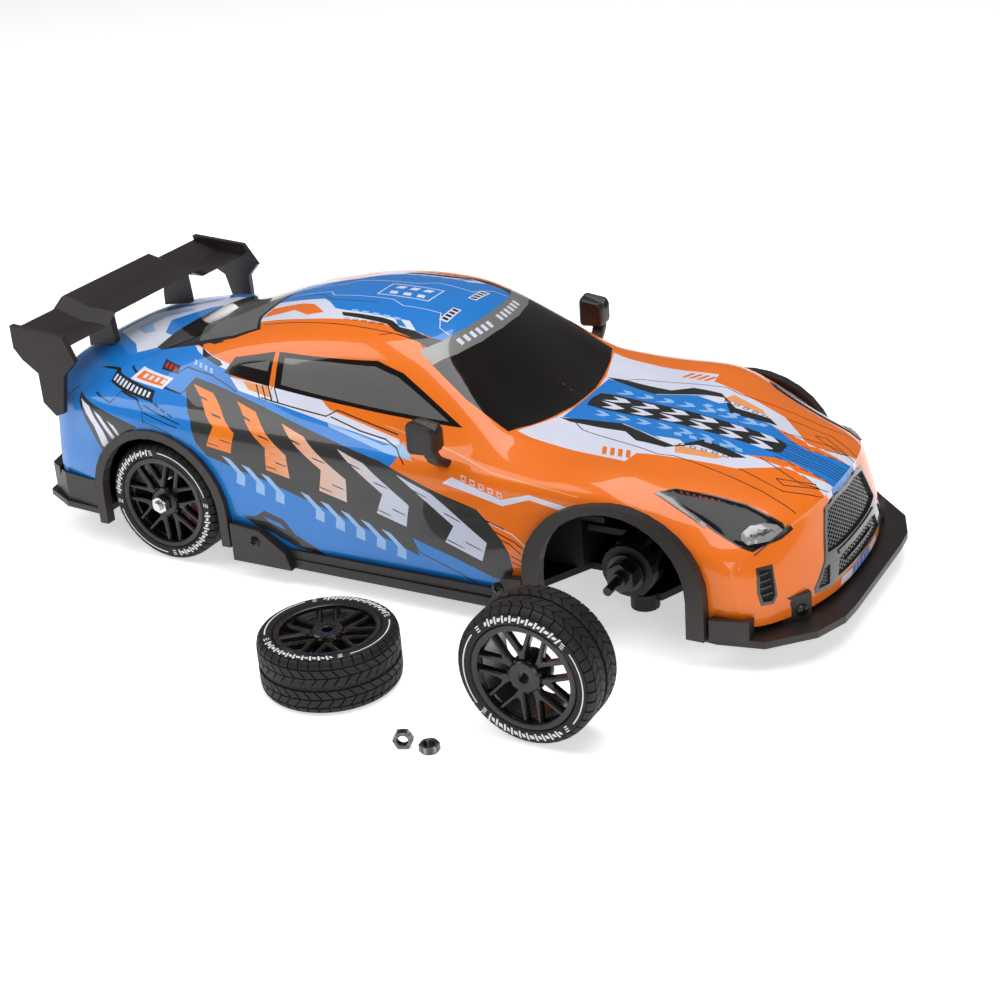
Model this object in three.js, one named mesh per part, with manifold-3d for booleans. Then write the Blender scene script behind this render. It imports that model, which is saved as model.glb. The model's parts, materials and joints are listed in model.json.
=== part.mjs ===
// A 1:16 radio-controlled drift car, in millimetres, with its nose toward +X, its left toward +Y and +Z up.
// The front-right wheel is off and stands outboard of its hub. A spare wheel and two wheel nuts lie beside it.
import * as THREE from 'three';
import { mergeVertices } from 'three/addons/utils/BufferGeometryUtils.js';
import Module from 'manifold-3d';

// ---- Driving dimensions ----
const WHEELBASE = 173.8;
const TYRE_RADIUS = 22.25;
const TYRE_WIDTH = 18.4;
const WHEEL_FACE = 59; // outer face of a mounted wheel, from the centreline
const RIM_RADIUS = 16;
const BODY_HALF_WIDTH = 59;
const BODY_FRONT = 147;
const SHELL_WALL = 1.3;
const GAP = 0.3;
const TRAY_BOTTOM = 7;
const TRAY_TOP = 9.5;
const KINGPIN_OUT = 35.5; // kingpin axis, from the centreline
const STEERING_ARM = 16;
const PULL_OFF = 60; // how far the loose front-right wheel stands from its seat
const SPARE_AT = [13, -108];
const NUT_ONE_AT = [53.9, -133.4];
const NUT_TWO_AT = [61.8, -131.9];
const GEAR_MODULE = 0.5;
const SPUR_TEETH = 48;
const PINION_TEETH = 12;

const AXLE_X = WHEELBASE / 2;
const AXLE_Z = TYRE_RADIUS;
const LINK_X = AXLE_X - STEERING_ARM;

// ---- Solids ----
const wasm = await Module();
wasm.setup();

function toSolid(geometry) {
  const bare = geometry.clone();
  bare.deleteAttribute('normal');
  bare.deleteAttribute('uv');
  const merged = mergeVertices(bare, 1e-4);
  const vertProperties = new Float32Array(merged.attributes.position.array);
  const triVerts = new Uint32Array(merged.index.array);
  return new wasm.Manifold(new wasm.Mesh({ numProp: 3, vertProperties, triVerts }));
}

function toGeometry(solid) {
  const mesh = solid.getMesh();
  const geometry = new THREE.BufferGeometry();
  geometry.setAttribute('position', new THREE.BufferAttribute(new Float32Array(mesh.vertProperties), 3));
  geometry.setIndex(new THREE.BufferAttribute(new Uint32Array(mesh.triVerts), 1));
  geometry.computeVertexNormals();
  return geometry;
}

function box(x0, x1, y0, y1, z0, z1) {
  const geometry = new THREE.BoxGeometry(x1 - x0, y1 - y0, z1 - z0);
  geometry.translate((x0 + x1) / 2, (y0 + y1) / 2, (z0 + z1) / 2);
  return toSolid(geometry);
}

// A round bar along an axis ('x', 'y' or 'z') from one coordinate to another, through the centre [a, b].
function bar(axis, radius, from, to, centre, segments = 16, endRadius = radius) {
  const geometry = new THREE.CylinderGeometry(endRadius, radius, to - from, segments);
  const middle = (from + to) / 2;
  if (axis === 'x') {
    geometry.rotateZ(-Math.PI / 2);
    geometry.translate(middle, centre[0], centre[1]);
  } else if (axis === 'y') {
    geometry.translate(centre[0], middle, centre[1]);
  } else {
    geometry.rotateX(Math.PI / 2);
    geometry.translate(centre[0], centre[1], middle);
  }
  return toSolid(geometry);
}

// A turned solid around the Y direction: profile points are [radius, y], closed on itself or on the axis.
function turned(profile, segments) {
  const points = profile.map(([radius, y]) => new THREE.Vector2(radius, y));
  return toSolid(new THREE.LatheGeometry(points, segments));
}

function outline(points) {
  return new THREE.Shape(points.map(([a, b]) => new THREE.Vector2(a, b)));
}

// A plan outline in X and Y, raised from z0 to z1.
function plate(points, z0, z1) {
  const geometry = new THREE.ExtrudeGeometry(outline(points), { depth: z1 - z0, bevelEnabled: false });
  geometry.translate(0, 0, z0);
  return toSolid(geometry);
}

// A side outline in X and Z, thickened from y0 to y1.
function sidePlate(points, y0, y1) {
  const geometry = new THREE.ExtrudeGeometry(outline(points), { depth: y1 - y0, bevelEnabled: false });
  geometry.rotateX(Math.PI / 2);
  geometry.translate(0, y1, 0);
  return toSolid(geometry);
}

function hexBar(acrossFlats, y0, y1) {
  return bar('y', acrossFlats / Math.sqrt(3), y0, y1, [0, 0], 6);
}

function union(...solids) {
  return solids.reduce((whole, next) => whole.add(next));
}

function mirrored(points) {
  return [...points, ...points.map(([x, y]) => [x, -y]).reverse()];
}

// ---- Body surface ----
// Eight feature lines run from tail to nose. Each row is [x, half width, height].
const BODY_LINES = {
  centre: [[-147, 0, 62], [-125, 0, 65.5], [-104, 0, 69], [-84, 0, 75.6], [-62, 0, 82.6], [-38, 0, 87.4],
    [-16, 0, 88.4], [2, 0, 87], [13, 0, 84.4], [25, 0, 76.5], [49, 0, 58.6], [60, 0, 57.4], [90, 0, 55],
    [118, 0, 50.5], [135, 0, 46.5], [147, 0, 43.5]],
  crown: [[-147, 20, 61.6], [-125, 20, 65], [-104, 18, 68.4], [-84, 18, 74.4], [-62, 18.5, 81.2], [-38, 19, 86],
    [-16, 19.5, 87], [2, 19, 85.6], [12, 18.5, 83], [24, 20, 75.2], [47, 22, 58.8], [60, 22, 57],
    [90, 22, 55.4], [118, 21, 50], [135, 20, 45.8], [147, 19, 43]],
  roofRail: [[-147, 34, 60.4], [-125, 34, 63.6], [-104, 33.5, 66.6], [-84, 34, 71.6], [-62, 35, 77.4],
    [-38, 36, 81.4], [-16, 36.2, 82.6], [0, 35.8, 81], [9, 36, 78], [22, 38.6, 71], [43, 43, 59],
    [60, 40, 56.4], [90, 36, 55.2], [118, 34, 49.5], [135, 33, 45], [147, 31, 41.6]],
  belt: [[-147, 42, 58.4], [-125, 44.5, 61.4], [-104, 46, 62.2], [-84, 48, 61.4], [-62, 50, 59.6],
    [-38, 51.5, 58.4], [-14, 52, 57.4], [4, 52, 57], [22, 51.4, 56.6], [43, 49.5, 56.2], [60, 48, 55.4],
    [90, 48, 54.8], [118, 46, 47], [135, 45, 41.5], [147, 43.5, 38]],
  shoulder: [[-147, 51, 53], [-125, 56, 56.8], [-104, 57.4, 57.2], [-84, 57.6, 56], [-62, 56.8, 54.8],
    [-38, 56.2, 53.8], [-14, 56, 53], [14, 56, 52.4], [43, 56, 52], [64, 56.4, 52], [90, 57, 51.2],
    [118, 56, 43.5], [135, 55, 37], [147, 54.5, 33.5]],
  side: [[-147, 53.5, 38], [-120, 57.5, 40], [-87, 59, 40], [-60, 58.4, 39], [-14, 57.6, 38], [30, 57.6, 37],
    [60, 58, 37], [87, 58.8, 37], [118, 57.6, 32], [135, 56.5, 27], [147, 56, 25]],
  lowSide: [[-147, 52.5, 26], [-120, 56.6, 24], [-87, 58, 22], [-60, 57.6, 20], [-14, 56.6, 20], [30, 56.6, 20],
    [60, 57, 20], [87, 58, 20], [118, 57.4, 20], [135, 56, 18], [147, 55.5, 17.5]],
  hem: [[-147, 50, 18], [-120, 54, 15], [-87, 56, 12], [-60, 56.2, 11], [-14, 55.6, 11], [30, 55.6, 11],
    [60, 56, 11], [87, 56.5, 11.5], [118, 55.8, 12.5], [135, 54.5, 13], [147, 54, 13]],
};
const LINE_ORDER = ['centre', 'crown', 'roofRail', 'belt', 'shoulder', 'side', 'lowSide', 'hem'];
const BODY_STATIONS = [-147, -136, -125, -114, -104, -94, -84, -73, -62, -50, -38, -27, -16, -7, 2, 8, 13, 19, 25,
  37, 49, 60, 75, 90, 104, 118, 127, 135, 147];

function smoothStep(from, to, value) {
  const t = THREE.MathUtils.clamp((value - from) / (to - from), 0, 1);
  return t * t * (3 - 2 * t);
}

// A smooth curve through the rows: the half width and height at x.
function along(rows, x) {
  const last = rows.length - 2;
  const held = THREE.MathUtils.clamp(x, rows[0][0], rows[last + 1][0]);
  let i = 0;
  while (i < last && held > rows[i + 1][0]) i += 1;
  const slope = (k, column) => (rows[k + 1][column] - rows[k][column]) / (rows[k + 1][0] - rows[k][0]);
  const step = (k) => rows[k + 1][0] - rows[k][0];
  const tangent = (k, column) => {
    if (k === 0) return slope(0, column);
    if (k === last + 1) return slope(last, column);
    return (slope(k - 1, column) * step(k) + slope(k, column) * step(k - 1)) / (step(k - 1) + step(k));
  };
  const h = step(i);
  const t = (held - rows[i][0]) / h;
  return [1, 2].map((column) => (2 * t ** 3 - 3 * t ** 2 + 1) * rows[i][column]
    + (t ** 3 - 2 * t ** 2 + t) * h * tangent(i, column)
    + (-2 * t ** 3 + 3 * t ** 2) * rows[i + 1][column]
    + (t ** 3 - t ** 2) * h * tangent(i + 1, column));
}

// The nose and tail curve round in plan, and their faces lean.
function wrapX(x, y, z) {
  const out = Math.abs(y) / BODY_HALF_WIDTH;
  const nose = 22 * smoothStep(60, 147, x) * out ** 2.6 + 5.5 * smoothStep(105, 147, x) * smoothStep(15, 42, z);
  const tail = smoothStep(-90, -147, x) * (12 * out ** 2.8 + 2.5 * smoothStep(20, 50, z));
  return x - nose + tail;
}

// One section of the body: fifteen [y, z, x] points from the right hem over the roof to the left hem.
function bodySection(x, inset, drop) {
  const half = LINE_ORDER.map((name) => along(BODY_LINES[name], x));
  const inner = half.map(([y, z], i) => {
    const before = half[Math.max(i - 1, 0)];
    const after = half[Math.min(i + 1, half.length - 1)];
    const dy = after[0] - before[0];
    const dz = after[1] - before[1];
    const length = Math.hypot(dy, dz);
    const newY = i === 0 ? 0 : y + (dz / length) * inset;
    const newZ = i === half.length - 1 ? z - drop : z - (dy / length) * inset;
    return [newY, newZ, wrapX(x, y, z)];
  });
  return [...inner.map(([y, z, wrapped]) => [-y, z, wrapped]).reverse(), ...inner.slice(1)];
}

// The body as a filled solid, moved in by inset on every side and down by drop at the hem.
function bodySolid(inset, drop) {
  const rows = [];
  const stretch = (BODY_FRONT - inset) / BODY_FRONT;
  BODY_STATIONS.forEach((x) => {
    rows.push(bodySection(x, inset, drop).map(([y, z, wrapped]) => [wrapped * stretch, y, z]));
  });
  const positions = [];
  const indices = [];
  const add = (point) => positions.push(...point) / 3 - 1;
  const ring = rows.map((row) => row.map(add));
  const quad = (a, b, c, d) => indices.push(a, b, c, a, c, d);
  const count = ring[0].length;
  for (let i = 0; i + 1 < ring.length; i += 1) {
    for (let k = 0; k + 1 < count; k += 1) {
      quad(ring[i][k], ring[i][k + 1], ring[i + 1][k + 1], ring[i + 1][k]);
    }
    quad(ring[i][count - 1], ring[i][0], ring[i + 1][0], ring[i + 1][count - 1]);
  }
  [0, ring.length - 1].forEach((end) => {
    const section = bodySection(BODY_STATIONS[end], inset, drop);
    const grid = [ring[end].slice(4, 11)];
    for (let row = 3; row >= 1; row -= 1) {
      const [sideY, sideZ] = section[row];
      const inside = [1, 2, 3, 4, 5].map((column) => {
        const y = (Math.abs(sideY) * section[4 + column][0]) / Math.abs(section[4][0]);
        const z = sideZ + ((section[4 + column][1] - section[4][1]) * row) / 4;
        return add([wrapX(BODY_STATIONS[end], y, z) * stretch, y, z]);
      });
      grid.push([ring[end][row], ...inside, ring[end][14 - row]]);
    }
    grid.push([ring[end][0], ring[end][14]]);
    const face = (a, b, c) => (end === 0 ? indices.push(a, b, c) : indices.push(a, c, b));
    for (let row = 0; row < 3; row += 1) {
      for (let column = 0; column < 6; column += 1) {
        const [a, b] = [grid[row][column], grid[row][column + 1]];
        const [c, d] = [grid[row + 1][column], grid[row + 1][column + 1]];
        face(a, c, b);
        face(b, c, d);
      }
    }
    const low = grid[3];
    face(low[0], grid[4][0], low[1]);
    for (let column = 1; column < 5; column += 1) face(low[column], grid[4][0], low[column + 1]);
    face(low[5], grid[4][0], low[6]);
    face(low[6], grid[4][0], grid[4][1]);
  });
  const geometry = new THREE.BufferGeometry();
  geometry.setAttribute('position', new THREE.BufferAttribute(new Float32Array(positions), 3));
  geometry.setIndex(indices);
  let solid = toSolid(geometry);
  if (solid.volume() < 0) {
    const flipped = indices.map((_, i) => indices[i - (i % 3) + [0, 2, 1][i % 3]]);
    geometry.setIndex(flipped);
    solid = toSolid(geometry);
  }
  return solid;
}

const ARCH_HOLE = 27;
const ARCH_INNER = 25;
const LIP_BACK = -56.8;
const archBar = (x, radius) => union(
  bar('y', radius, -80, 80, [x, AXLE_Z], 32),
  box(x - radius, x + radius, -80, 80, -10, AXLE_Z),
);
const archHoles = (radius) => archBar(AXLE_X, radius).add(archBar(-AXLE_X, radius));

function bodyShell() {
  return bodySolid(0, 0).subtract(bodySolid(SHELL_WALL, 6)).subtract(archHoles(ARCH_HOLE));
}

// Everything that the shell occupies, with a gap round it, for fitting the trims.
const TRIM_GAP = 0.4;
const bodyRoom = bodySolid(-TRIM_GAP, TRIM_GAP);
const shellRoom = bodyRoom.subtract(bodySolid(SHELL_WALL + TRIM_GAP, 9)).subtract(archHoles(ARCH_HOLE - GAP));

// ---- Trims ----
function archShape(halfWidth, height, foot) {
  const shape = [];
  const steps = 16;
  for (let i = 0; i <= steps; i += 1) {
    const angle = (Math.PI * i) / steps;
    shape.push([halfWidth * Math.cos(angle), AXLE_Z + height * Math.sin(angle)]);
  }
  shape.push([-halfWidth, foot]);
  shape.push([halfWidth, foot]);
  return shape;
}

// A wheel arch trim on the right side: a flat band over the shell and a lip inside its hole.
function archTrim(x, halfWidth, height, foot) {
  const face = BODY_HALF_WIDTH + 1.6;
  const band = sidePlate(archShape(halfWidth, height, foot), -face, LIP_BACK).translate(x, 0, 0);
  const lip = sidePlate(archShape(ARCH_HOLE - GAP, ARCH_HOLE - GAP, foot), -face, LIP_BACK).translate(x, 0, 0);
  return band.subtract(bodyRoom).add(lip).subtract(archBar(x, ARCH_INNER)).subtract(shellRoom);
}

const FRONT_TRIM_FOOT = 9.6;
const REAR_TRIM_FOOT = 10.6;
const frontArchTrim = () => archTrim(AXLE_X, 31, 28, FRONT_TRIM_FOOT);
const rearArchTrim = () => archTrim(-AXLE_X, 28.5, 28, REAR_TRIM_FOOT);

function sideSkirt() {
  const rear = -AXLE_X + 29.2;
  const front = AXLE_X - 31.6;
  const blade = plate([[rear, -58], [front, -58.4], [front, -50], [rear, -50]], 6, 9.4);
  const wall = plate([[rear, -57.6], [front, -57.6], [front, -53.4], [rear, -53.4]], 9, 12.6);
  const rearPad = sidePlate([[rear, 6], [rear + 24, 6], [rear + 22, 12], [rear + 12, 19], [rear, 20]], -60.4, -56);
  const frontPad = sidePlate([[front - 14, 6], [front, 6], [front, 19], [front - 7, 18.5]], -60.2, -56);
  return union(blade, wall, rearPad, frontPad).subtract(bodyRoom);
}

// The splitter: a flat blade ahead of the bumper, its raised side lobes and two screw tabs.
const SPLITTER_EDGE = [[114.6, -57.6], [121, -58.2], [135.6, -55.5], [148, -43], [152.6, -31],
  [153.2, -22]];
function frontSplitter() {
  const blade = plate(mirrored(SPLITTER_EDGE), 8.4, 10.8);
  const lobes = [-1, 1].map((side) => {
    const points = [[119, -59.4], [131, -56.6], [131, -52], [119, -54]].map(([x, y]) => [x, -side * y]);
    return plate(side < 0 ? points : points.reverse(), 10, 17);
  });
  const tabs = [-1, 1].map((side) => {
    const points = [[136.6, 43], [143.2, 35.6], [139, 31.4], [132.4, 38]].map(([x, y]) => [x, side * y]);
    return plate(side < 0 ? points.reverse() : points, 10, 19.5);
  });
  const frontFeet = archHoles(31 + GAP).intersect(box(50, 130, -80, 80, FRONT_TRIM_FOOT - GAP, 60));
  return union(blade, ...lobes, ...tabs).subtract(bodyRoom).subtract(frontFeet);
}

const DIFFUSER_LOW = 12;
const DIFFUSER_TOP = 25;
function rearDiffuser() {
  const outer = [[-116.2, -57], [-134, -54.6], [-144.6, -48.4], [-148.6, -34], [-149.6, -14]];
  const inner = [[-112, -54], [-132.6, -51.6], [-141.8, -46], [-145.6, -32.6], [-146.6, -13]];
  const lip = [[-113, -57.6], [-134, -56], [-146.6, -49.6], [-150.4, -34], [-151, -14]];
  const base = plate(mirrored(lip), DIFFUSER_LOW, DIFFUSER_LOW + 2.2);
  const wall = plate(mirrored(outer), DIFFUSER_LOW + 1, DIFFUSER_TOP)
    .subtract(plate(mirrored(inner), DIFFUSER_LOW, DIFFUSER_TOP + 9));
  const rearFeet = box(-AXLE_X - 28.8, -AXLE_X + 40, -80, 80, 0, 60);
  return base.add(wall).subtract(bodyRoom).subtract(rearFeet);
}

// ---- Wing and mirrors ----
const ENDPLATE = [[-147.5, 80], [-123.8, 78.3], [-118.8, 70], [-124, 64.6], [-125.2, 51], [-128.4, 49.8],
  [-134, 54], [-135.6, 64.2], [-142.6, 68.4], [-146.4, 72.2]];

function wing() {
  const section = (lift) => [[-149, 79.4 + lift], [-147, 78 + lift], [-136, 74.4 + lift], [-127, 74.6 + lift],
    [-124.4, 75.9 + lift], [-127, 76.5 + lift], [-136, 76.8 + lift], [-147.4, 80.3 + lift]];
  const spans = [[-53.6, -2.2], [-30.5, -2.2], [-25, 1], [25, 1], [30.5, -2.2], [53.6, -2.2]];
  const positions = [];
  const indices = [];
  spans.forEach(([y, lift]) => section(lift).forEach(([x, z]) => positions.push(x, y, z)));
  const count = section(0).length;
  for (let i = 0; i + 1 < spans.length; i += 1) {
    for (let k = 0; k < count; k += 1) {
      const a = i * count + k;
      const b = i * count + ((k + 1) % count);
      indices.push(a, a + count, b, b, a + count, b + count);
    }
  }
  const caps = THREE.ShapeUtils.triangulateShape(section(0).map(([x, z]) => new THREE.Vector2(x, z)), []);
  const end = (spans.length - 1) * count;
  caps.forEach(([a, b, c]) => indices.push(a, b, c, end + a, end + c, end + b));
  const geometry = new THREE.BufferGeometry();
  geometry.setAttribute('position', new THREE.BufferAttribute(new Float32Array(positions), 3));
  geometry.setIndex(indices);
  let blade = toSolid(geometry);
  if (blade.volume() < 0) {
    geometry.setIndex(indices.map((_, i) => indices[i - (i % 3) + [0, 2, 1][i % 3]]));
    blade = toSolid(geometry);
  }
  const lean = 0.15;
  const plates = [-1, 1].map((side) => {
    const flat = sidePlate(ENDPLATE, -1.1, 1.1);
    return flat.warp((vertex) => {
      vertex[1] += side * (54.2 + (79 - vertex[2]) * lean);
    });
  });
  return union(blade, ...plates).subtract(bodyRoom);
}

function wingStrut() {
  const points = [[-139.8, 60], [-128, 60], [-127.6, 66], [-128.6, 76], [-137.4, 76], [-139.6, 68]];
  return sidePlate(points, -24, -21.2).subtract(bodyRoom).subtract(wingRoom);
}

function mirror() {
  const housing = sidePlate([[20.2, 60.8], [27.2, 60], [29.4, 62], [29.4, 67.8], [26.8, 70], [20.8, 69]], -64.8, -57.6);
  const stalk = sidePlate([[24, 52], [30, 52], [29.2, 62], [24.6, 62]], -60.8, -50);
  return housing.add(stalk).subtract(bodyRoom);
}

// ---- Chassis ----
const DOOR = { x0: -54, x1: 2, y0: -37, y1: -14 };
const SWITCH = { x: 50, y: 20, travel: 3 };
const MOTOR = { y: (GEAR_MODULE * (SPUR_TEETH + PINION_TEETH)) / 2, radius: 12, rear: -34, front: -2 };
const CASE_HALF = 10.9;

function chassisTray() {
  const floor = plate(mirrored([[-112, -24], [-66, -24], [-58, -44], [52, -44], [62, -24], [76, -24], [81, -36],
    [93, -36], [98, -24], [111, -24]]), TRAY_BOTTOM, TRAY_TOP);
  const walls = [-1, 1].map((side) => box(-56, 50, side > 0 ? 42 : -44, side > 0 ? 44 : -42, TRAY_TOP - 0.5, 17));
  const bosses = [-1, 1].map((side) => bar('z', 4.8, 4, TRAY_TOP, [AXLE_X, side * KINGPIN_OUT]));
  const mounts = [-1, 1].map((side) => box(100, 106, side > 0 ? 16 : -23, side > 0 ? 23 : -16, TRAY_TOP - 0.5, 17));
  const posts = [-48, 47].flatMap((x) => [-1, 1].map((side) => (
    box(x - 4, x + 4, side > 0 ? 43 : -52.4, side > 0 ? 52.4 : -43, 8.4, 12.4)
  )));
  const pinHoles = [-1, 1].map((side) => bar('z', 1.7, 4.9, 20, [AXLE_X, side * KINGPIN_OUT]));
  const doorHole = box(DOOR.x0, DOOR.x1, DOOR.y0, DOOR.y1, 0, 20);
  const slot = box(SWITCH.x - 4.5, SWITCH.x + 4.5, SWITCH.y - 2.3, SWITCH.y + 2.3, 0, 20);
  return union(floor, ...walls, ...bosses, ...mounts, ...posts)
    .subtract(union(...pinHoles, doorHole, slot))
    .subtract(skirtRoom);
}

function motorMount() {
  const wall = box(MOTOR.front + GAP, MOTOR.front + 1.8, 3, 29, TRAY_TOP + GAP, 34);
  return wall.subtract(bar('x', 2.4, -5, 5, [MOTOR.y, AXLE_Z]));
}

function motor() {
  const can = bar('x', MOTOR.radius, MOTOR.rear, MOTOR.front, [MOTOR.y, AXLE_Z], 24);
  const bell = bar('x', 5, MOTOR.rear - 2.5, MOTOR.rear + 1, [MOTOR.y, AXLE_Z]);
  return can.add(bell);
}

function gear(teeth, halfGap) {
  const pitch = (GEAR_MODULE * teeth) / 2;
  const points = [];
  for (let i = 0; i < teeth; i += 1) {
    [[-0.36, -0.95], [-0.12, 0.62], [0.12, 0.62], [0.36, -0.95]].forEach(([turn, reach]) => {
      const angle = ((i + halfGap + turn) / teeth) * Math.PI * 2;
      const radius = pitch + reach * GEAR_MODULE;
      points.push([radius * Math.cos(angle), radius * Math.sin(angle)]);
    });
  }
  return points;
}

// A toothed disc round the X direction.
function gearDisc(teeth, halfGap, x0, x1, y) {
  const geometry = new THREE.ExtrudeGeometry(outline(gear(teeth, halfGap)), { depth: x1 - x0, bevelEnabled: false });
  geometry.rotateY(Math.PI / 2);
  geometry.rotateX(Math.PI / 2);
  geometry.translate(x0, y, AXLE_Z);
  return toSolid(geometry);
}

const SHAFT_RADIUS = 1.6;
function centreShaft() {
  const rod = bar('x', SHAFT_RADIUS, -AXLE_X + 9, AXLE_X - 9, [0, AXLE_Z], 16);
  const frontCone = bar('x', 3.4, AXLE_X - 9.2, AXLE_X - 5.6, [0, AXLE_Z], 16, 2.6);
  const rearCone = bar('x', 2.6, -AXLE_X + 5.6, -AXLE_X + 9.2, [0, AXLE_Z], 16, 3.4);
  return union(rod, frontCone, rearCone, gearDisc(SPUR_TEETH, 0, 0.5, 4.5, 0));
}

function motorPinion() {
  const shaft = bar('x', 1, MOTOR.front + GAP, 5.4, [MOTOR.y, AXLE_Z], 12);
  return shaft.add(gearDisc(PINION_TEETH, 0.5, 0.2, 4.8, MOTOR.y));
}

// A gearbox case round a crown wheel, open for the axle on both sides and for the shaft at one end.
function gearboxCase(x, towardCentre, axleHole) {
  const outer = box(x - CASE_HALF, x + CASE_HALF, -12, 12, TRAY_TOP + GAP, 34);
  const inner = box(x - CASE_HALF + 1.4, x + CASE_HALF - 1.4, -10.6, 10.6, TRAY_TOP + 1.8, 32.6);
  const sides = bar('y', axleHole, -20, 20, [x, AXLE_Z]);
  const mouth = towardCentre * (CASE_HALF + 4);
  const shaftHole = bar('x', 2, Math.min(x, x + mouth), Math.max(x, x + mouth), [0, AXLE_Z], 16);
  return outer.subtract(inner).subtract(sides).subtract(shaftHole);
}

function frontSpool() {
  const hub = bar('y', 3.4, -13, 13, [0, 0]);
  const crown = bar('y', 9, 4.4, 6.4, [0, 0], 20);
  const cups = [-1, 1].map((side) => {
    const outer = bar('y', 5, side > 0 ? 12.4 : -19.4, side > 0 ? 19.4 : -12.4, [0, 0]);
    return outer.subtract(bar('y', 4.1, side > 0 ? 13.6 : -21, side > 0 ? 21 : -13.6, [0, 0]));
  });
  return union(hub, crown, ...cups);
}

// The end of a driven axle on the right side, from its flange to its threaded stub.
const HEX_FLATS = 8.7;
function axleEnd() {
  return union(
    bar('y', 6.3, -49.6, -48.4, [0, 0]),
    hexBar(HEX_FLATS, -53.6, -49.4),
    bar('y', 2.6, -55.4, -53.4, [0, 0]),
    bar('y', 1.5, -62.6, -55.2, [0, 0]),
  );
}

function frontAxle() {
  const cup = bar('y', 5.6, -40, -32.4, [0, 0]).subtract(bar('y', 4.6, -38.6, -30, [0, 0]));
  return union(cup, bar('y', 2.5, -49, -39.5, [0, 0], 20), axleEnd());
}

function rearAxle() {
  const rod = bar('y', 2, -49, 49, [0, 0], 20);
  const crown = bar('y', 9, -6.4, -4.4, [0, 0], 20);
  return union(rod, crown, axleEnd(), axleEnd().mirror([0, 1, 0]));
}

function rearAxleTube() {
  const tube = bar('y', 4.6, -44, -12 - GAP, [0, 0]);
  const ring = bar('y', 8.8, -48, -43.4, [0, 0], 20);
  return tube.add(ring).subtract(bar('y', 2.6, -60, -5, [0, 0]));
}

function dogbone() {
  const rod = bar('y', 1.5, -KINGPIN_OUT, -16, [0, 0], 12);
  const ball = (y, radius) => toSolid(new THREE.SphereGeometry(radius, 10, 6).translate(0, y, 0));
  return union(rod, ball(-16.4, 2.5), ball(-KINGPIN_OUT, 2.7));
}

// ---- Front suspension and steering, right side, round the kingpin and the axle ----
function knuckle() {
  const ring = bar('y', 8.8, -48.1, -43.6, [0, 0], 20);
  const ears = [-1, 1].map((side) => box(-4.4, 4.4, -46, -31.2, side > 0 ? 6.3 : -8.8, side > 0 ? 8.8 : -6.3));
  const lowerPin = bar('z', 1.5, -16.8, -8, [0, -KINGPIN_OUT], 16);
  const arm = box(-STEERING_ARM - 2.2, -3, -37.7, -33.3, 6.6, 8.8);
  const armPin = bar('z', 1, 8, 13, [-STEERING_ARM, -KINGPIN_OUT], 12);
  const bore = bar('y', 2.62, -60, -40, [0, 0], 20);
  const upperHole = bar('z', 1.62, 5, 10, [0, -KINGPIN_OUT], 16);
  return union(ring, ...ears, lowerPin, arm, armPin).subtract(bore).subtract(upperHole);
}

const ARM_BOTTOM = 41;
const ARM_TOP = 43.4;
function frontUpperArm() {
  const bridge = box(AXLE_X - 5, AXLE_X + 5, -36, 36, ARM_BOTTOM, ARM_TOP);
  const ends = [-1, 1].map((side) => bar('z', 4.7, ARM_BOTTOM, ARM_TOP, [AXLE_X, side * KINGPIN_OUT]));
  const posts = [-1, 1].map((side) => box(AXLE_X - 5.5, AXLE_X + 5.5, side > 0 ? 5 : -11, side > 0 ? 11 : -5,
    34 + GAP, ARM_BOTTOM + 0.5));
  const holes = [-1, 1].map((side) => bar('z', 1.7, 30, 50, [AXLE_X, side * KINGPIN_OUT], 16));
  return union(bridge, ...ends, ...posts).subtract(union(...holes));
}

const COLLAR_BOTTOM = AXLE_Z + 8.8 + GAP;
const COLLAR_TOP = COLLAR_BOTTOM + 1;
function kingpin() {
  const pin = bar('z', 1.5, AXLE_Z + 6.6, ARM_TOP + 2.4, [AXLE_X, -KINGPIN_OUT]);
  return pin.add(bar('z', 3.4, COLLAR_BOTTOM, COLLAR_TOP, [AXLE_X, -KINGPIN_OUT]));
}

class SpringLine extends THREE.Curve {
  constructor(radius, turns, bottom, top) {
    super();
    Object.assign(this, { radius, turns, bottom, top });
  }

  getPoint(t) {
    const angle = t * this.turns * Math.PI * 2;
    const height = this.bottom + (this.top - this.bottom) * t;
    return new THREE.Vector3(this.radius * Math.cos(angle), this.radius * Math.sin(angle), height);
  }
}

const SPRING_WIRE = 0.35;
function kingpinSpring() {
  const line = new SpringLine(2.5, 4, COLLAR_TOP + GAP + SPRING_WIRE, ARM_BOTTOM - GAP - SPRING_WIRE);
  const sides = 5;
  const section = [];
  for (let i = 0; i < sides; i += 1) {
    const angle = (i / sides) * Math.PI * 2;
    section.push([SPRING_WIRE * Math.cos(angle), SPRING_WIRE * Math.sin(angle)]);
  }
  const geometry = new THREE.ExtrudeGeometry(outline(section), { steps: 44, extrudePath: line });
  geometry.translate(AXLE_X, -KINGPIN_OUT, 0);
  return toSolid(geometry);
}

const HORN_AT = [LINK_X - STEERING_ARM, -22];
const LINK_BOTTOM = 32.9;
const LINK_TOP = 34.9;
function steeringServo() {
  return box(HORN_AT[0] - 10, HORN_AT[0] + 7, HORN_AT[1] - 7, HORN_AT[1] + 9, TRAY_TOP + GAP, 29.4);
}

function servoHorn() {
  const [x, y] = HORN_AT;
  return union(
    bar('z', 3, 29.7, 31.8, HORN_AT, 16),
    box(x, x + STEERING_ARM + 1.8, y - 1.8, y + 1.8, 29.9, 31.8),
    bar('z', 1, 31, 35.3, [x + STEERING_ARM, y], 12),
  );
}

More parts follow.
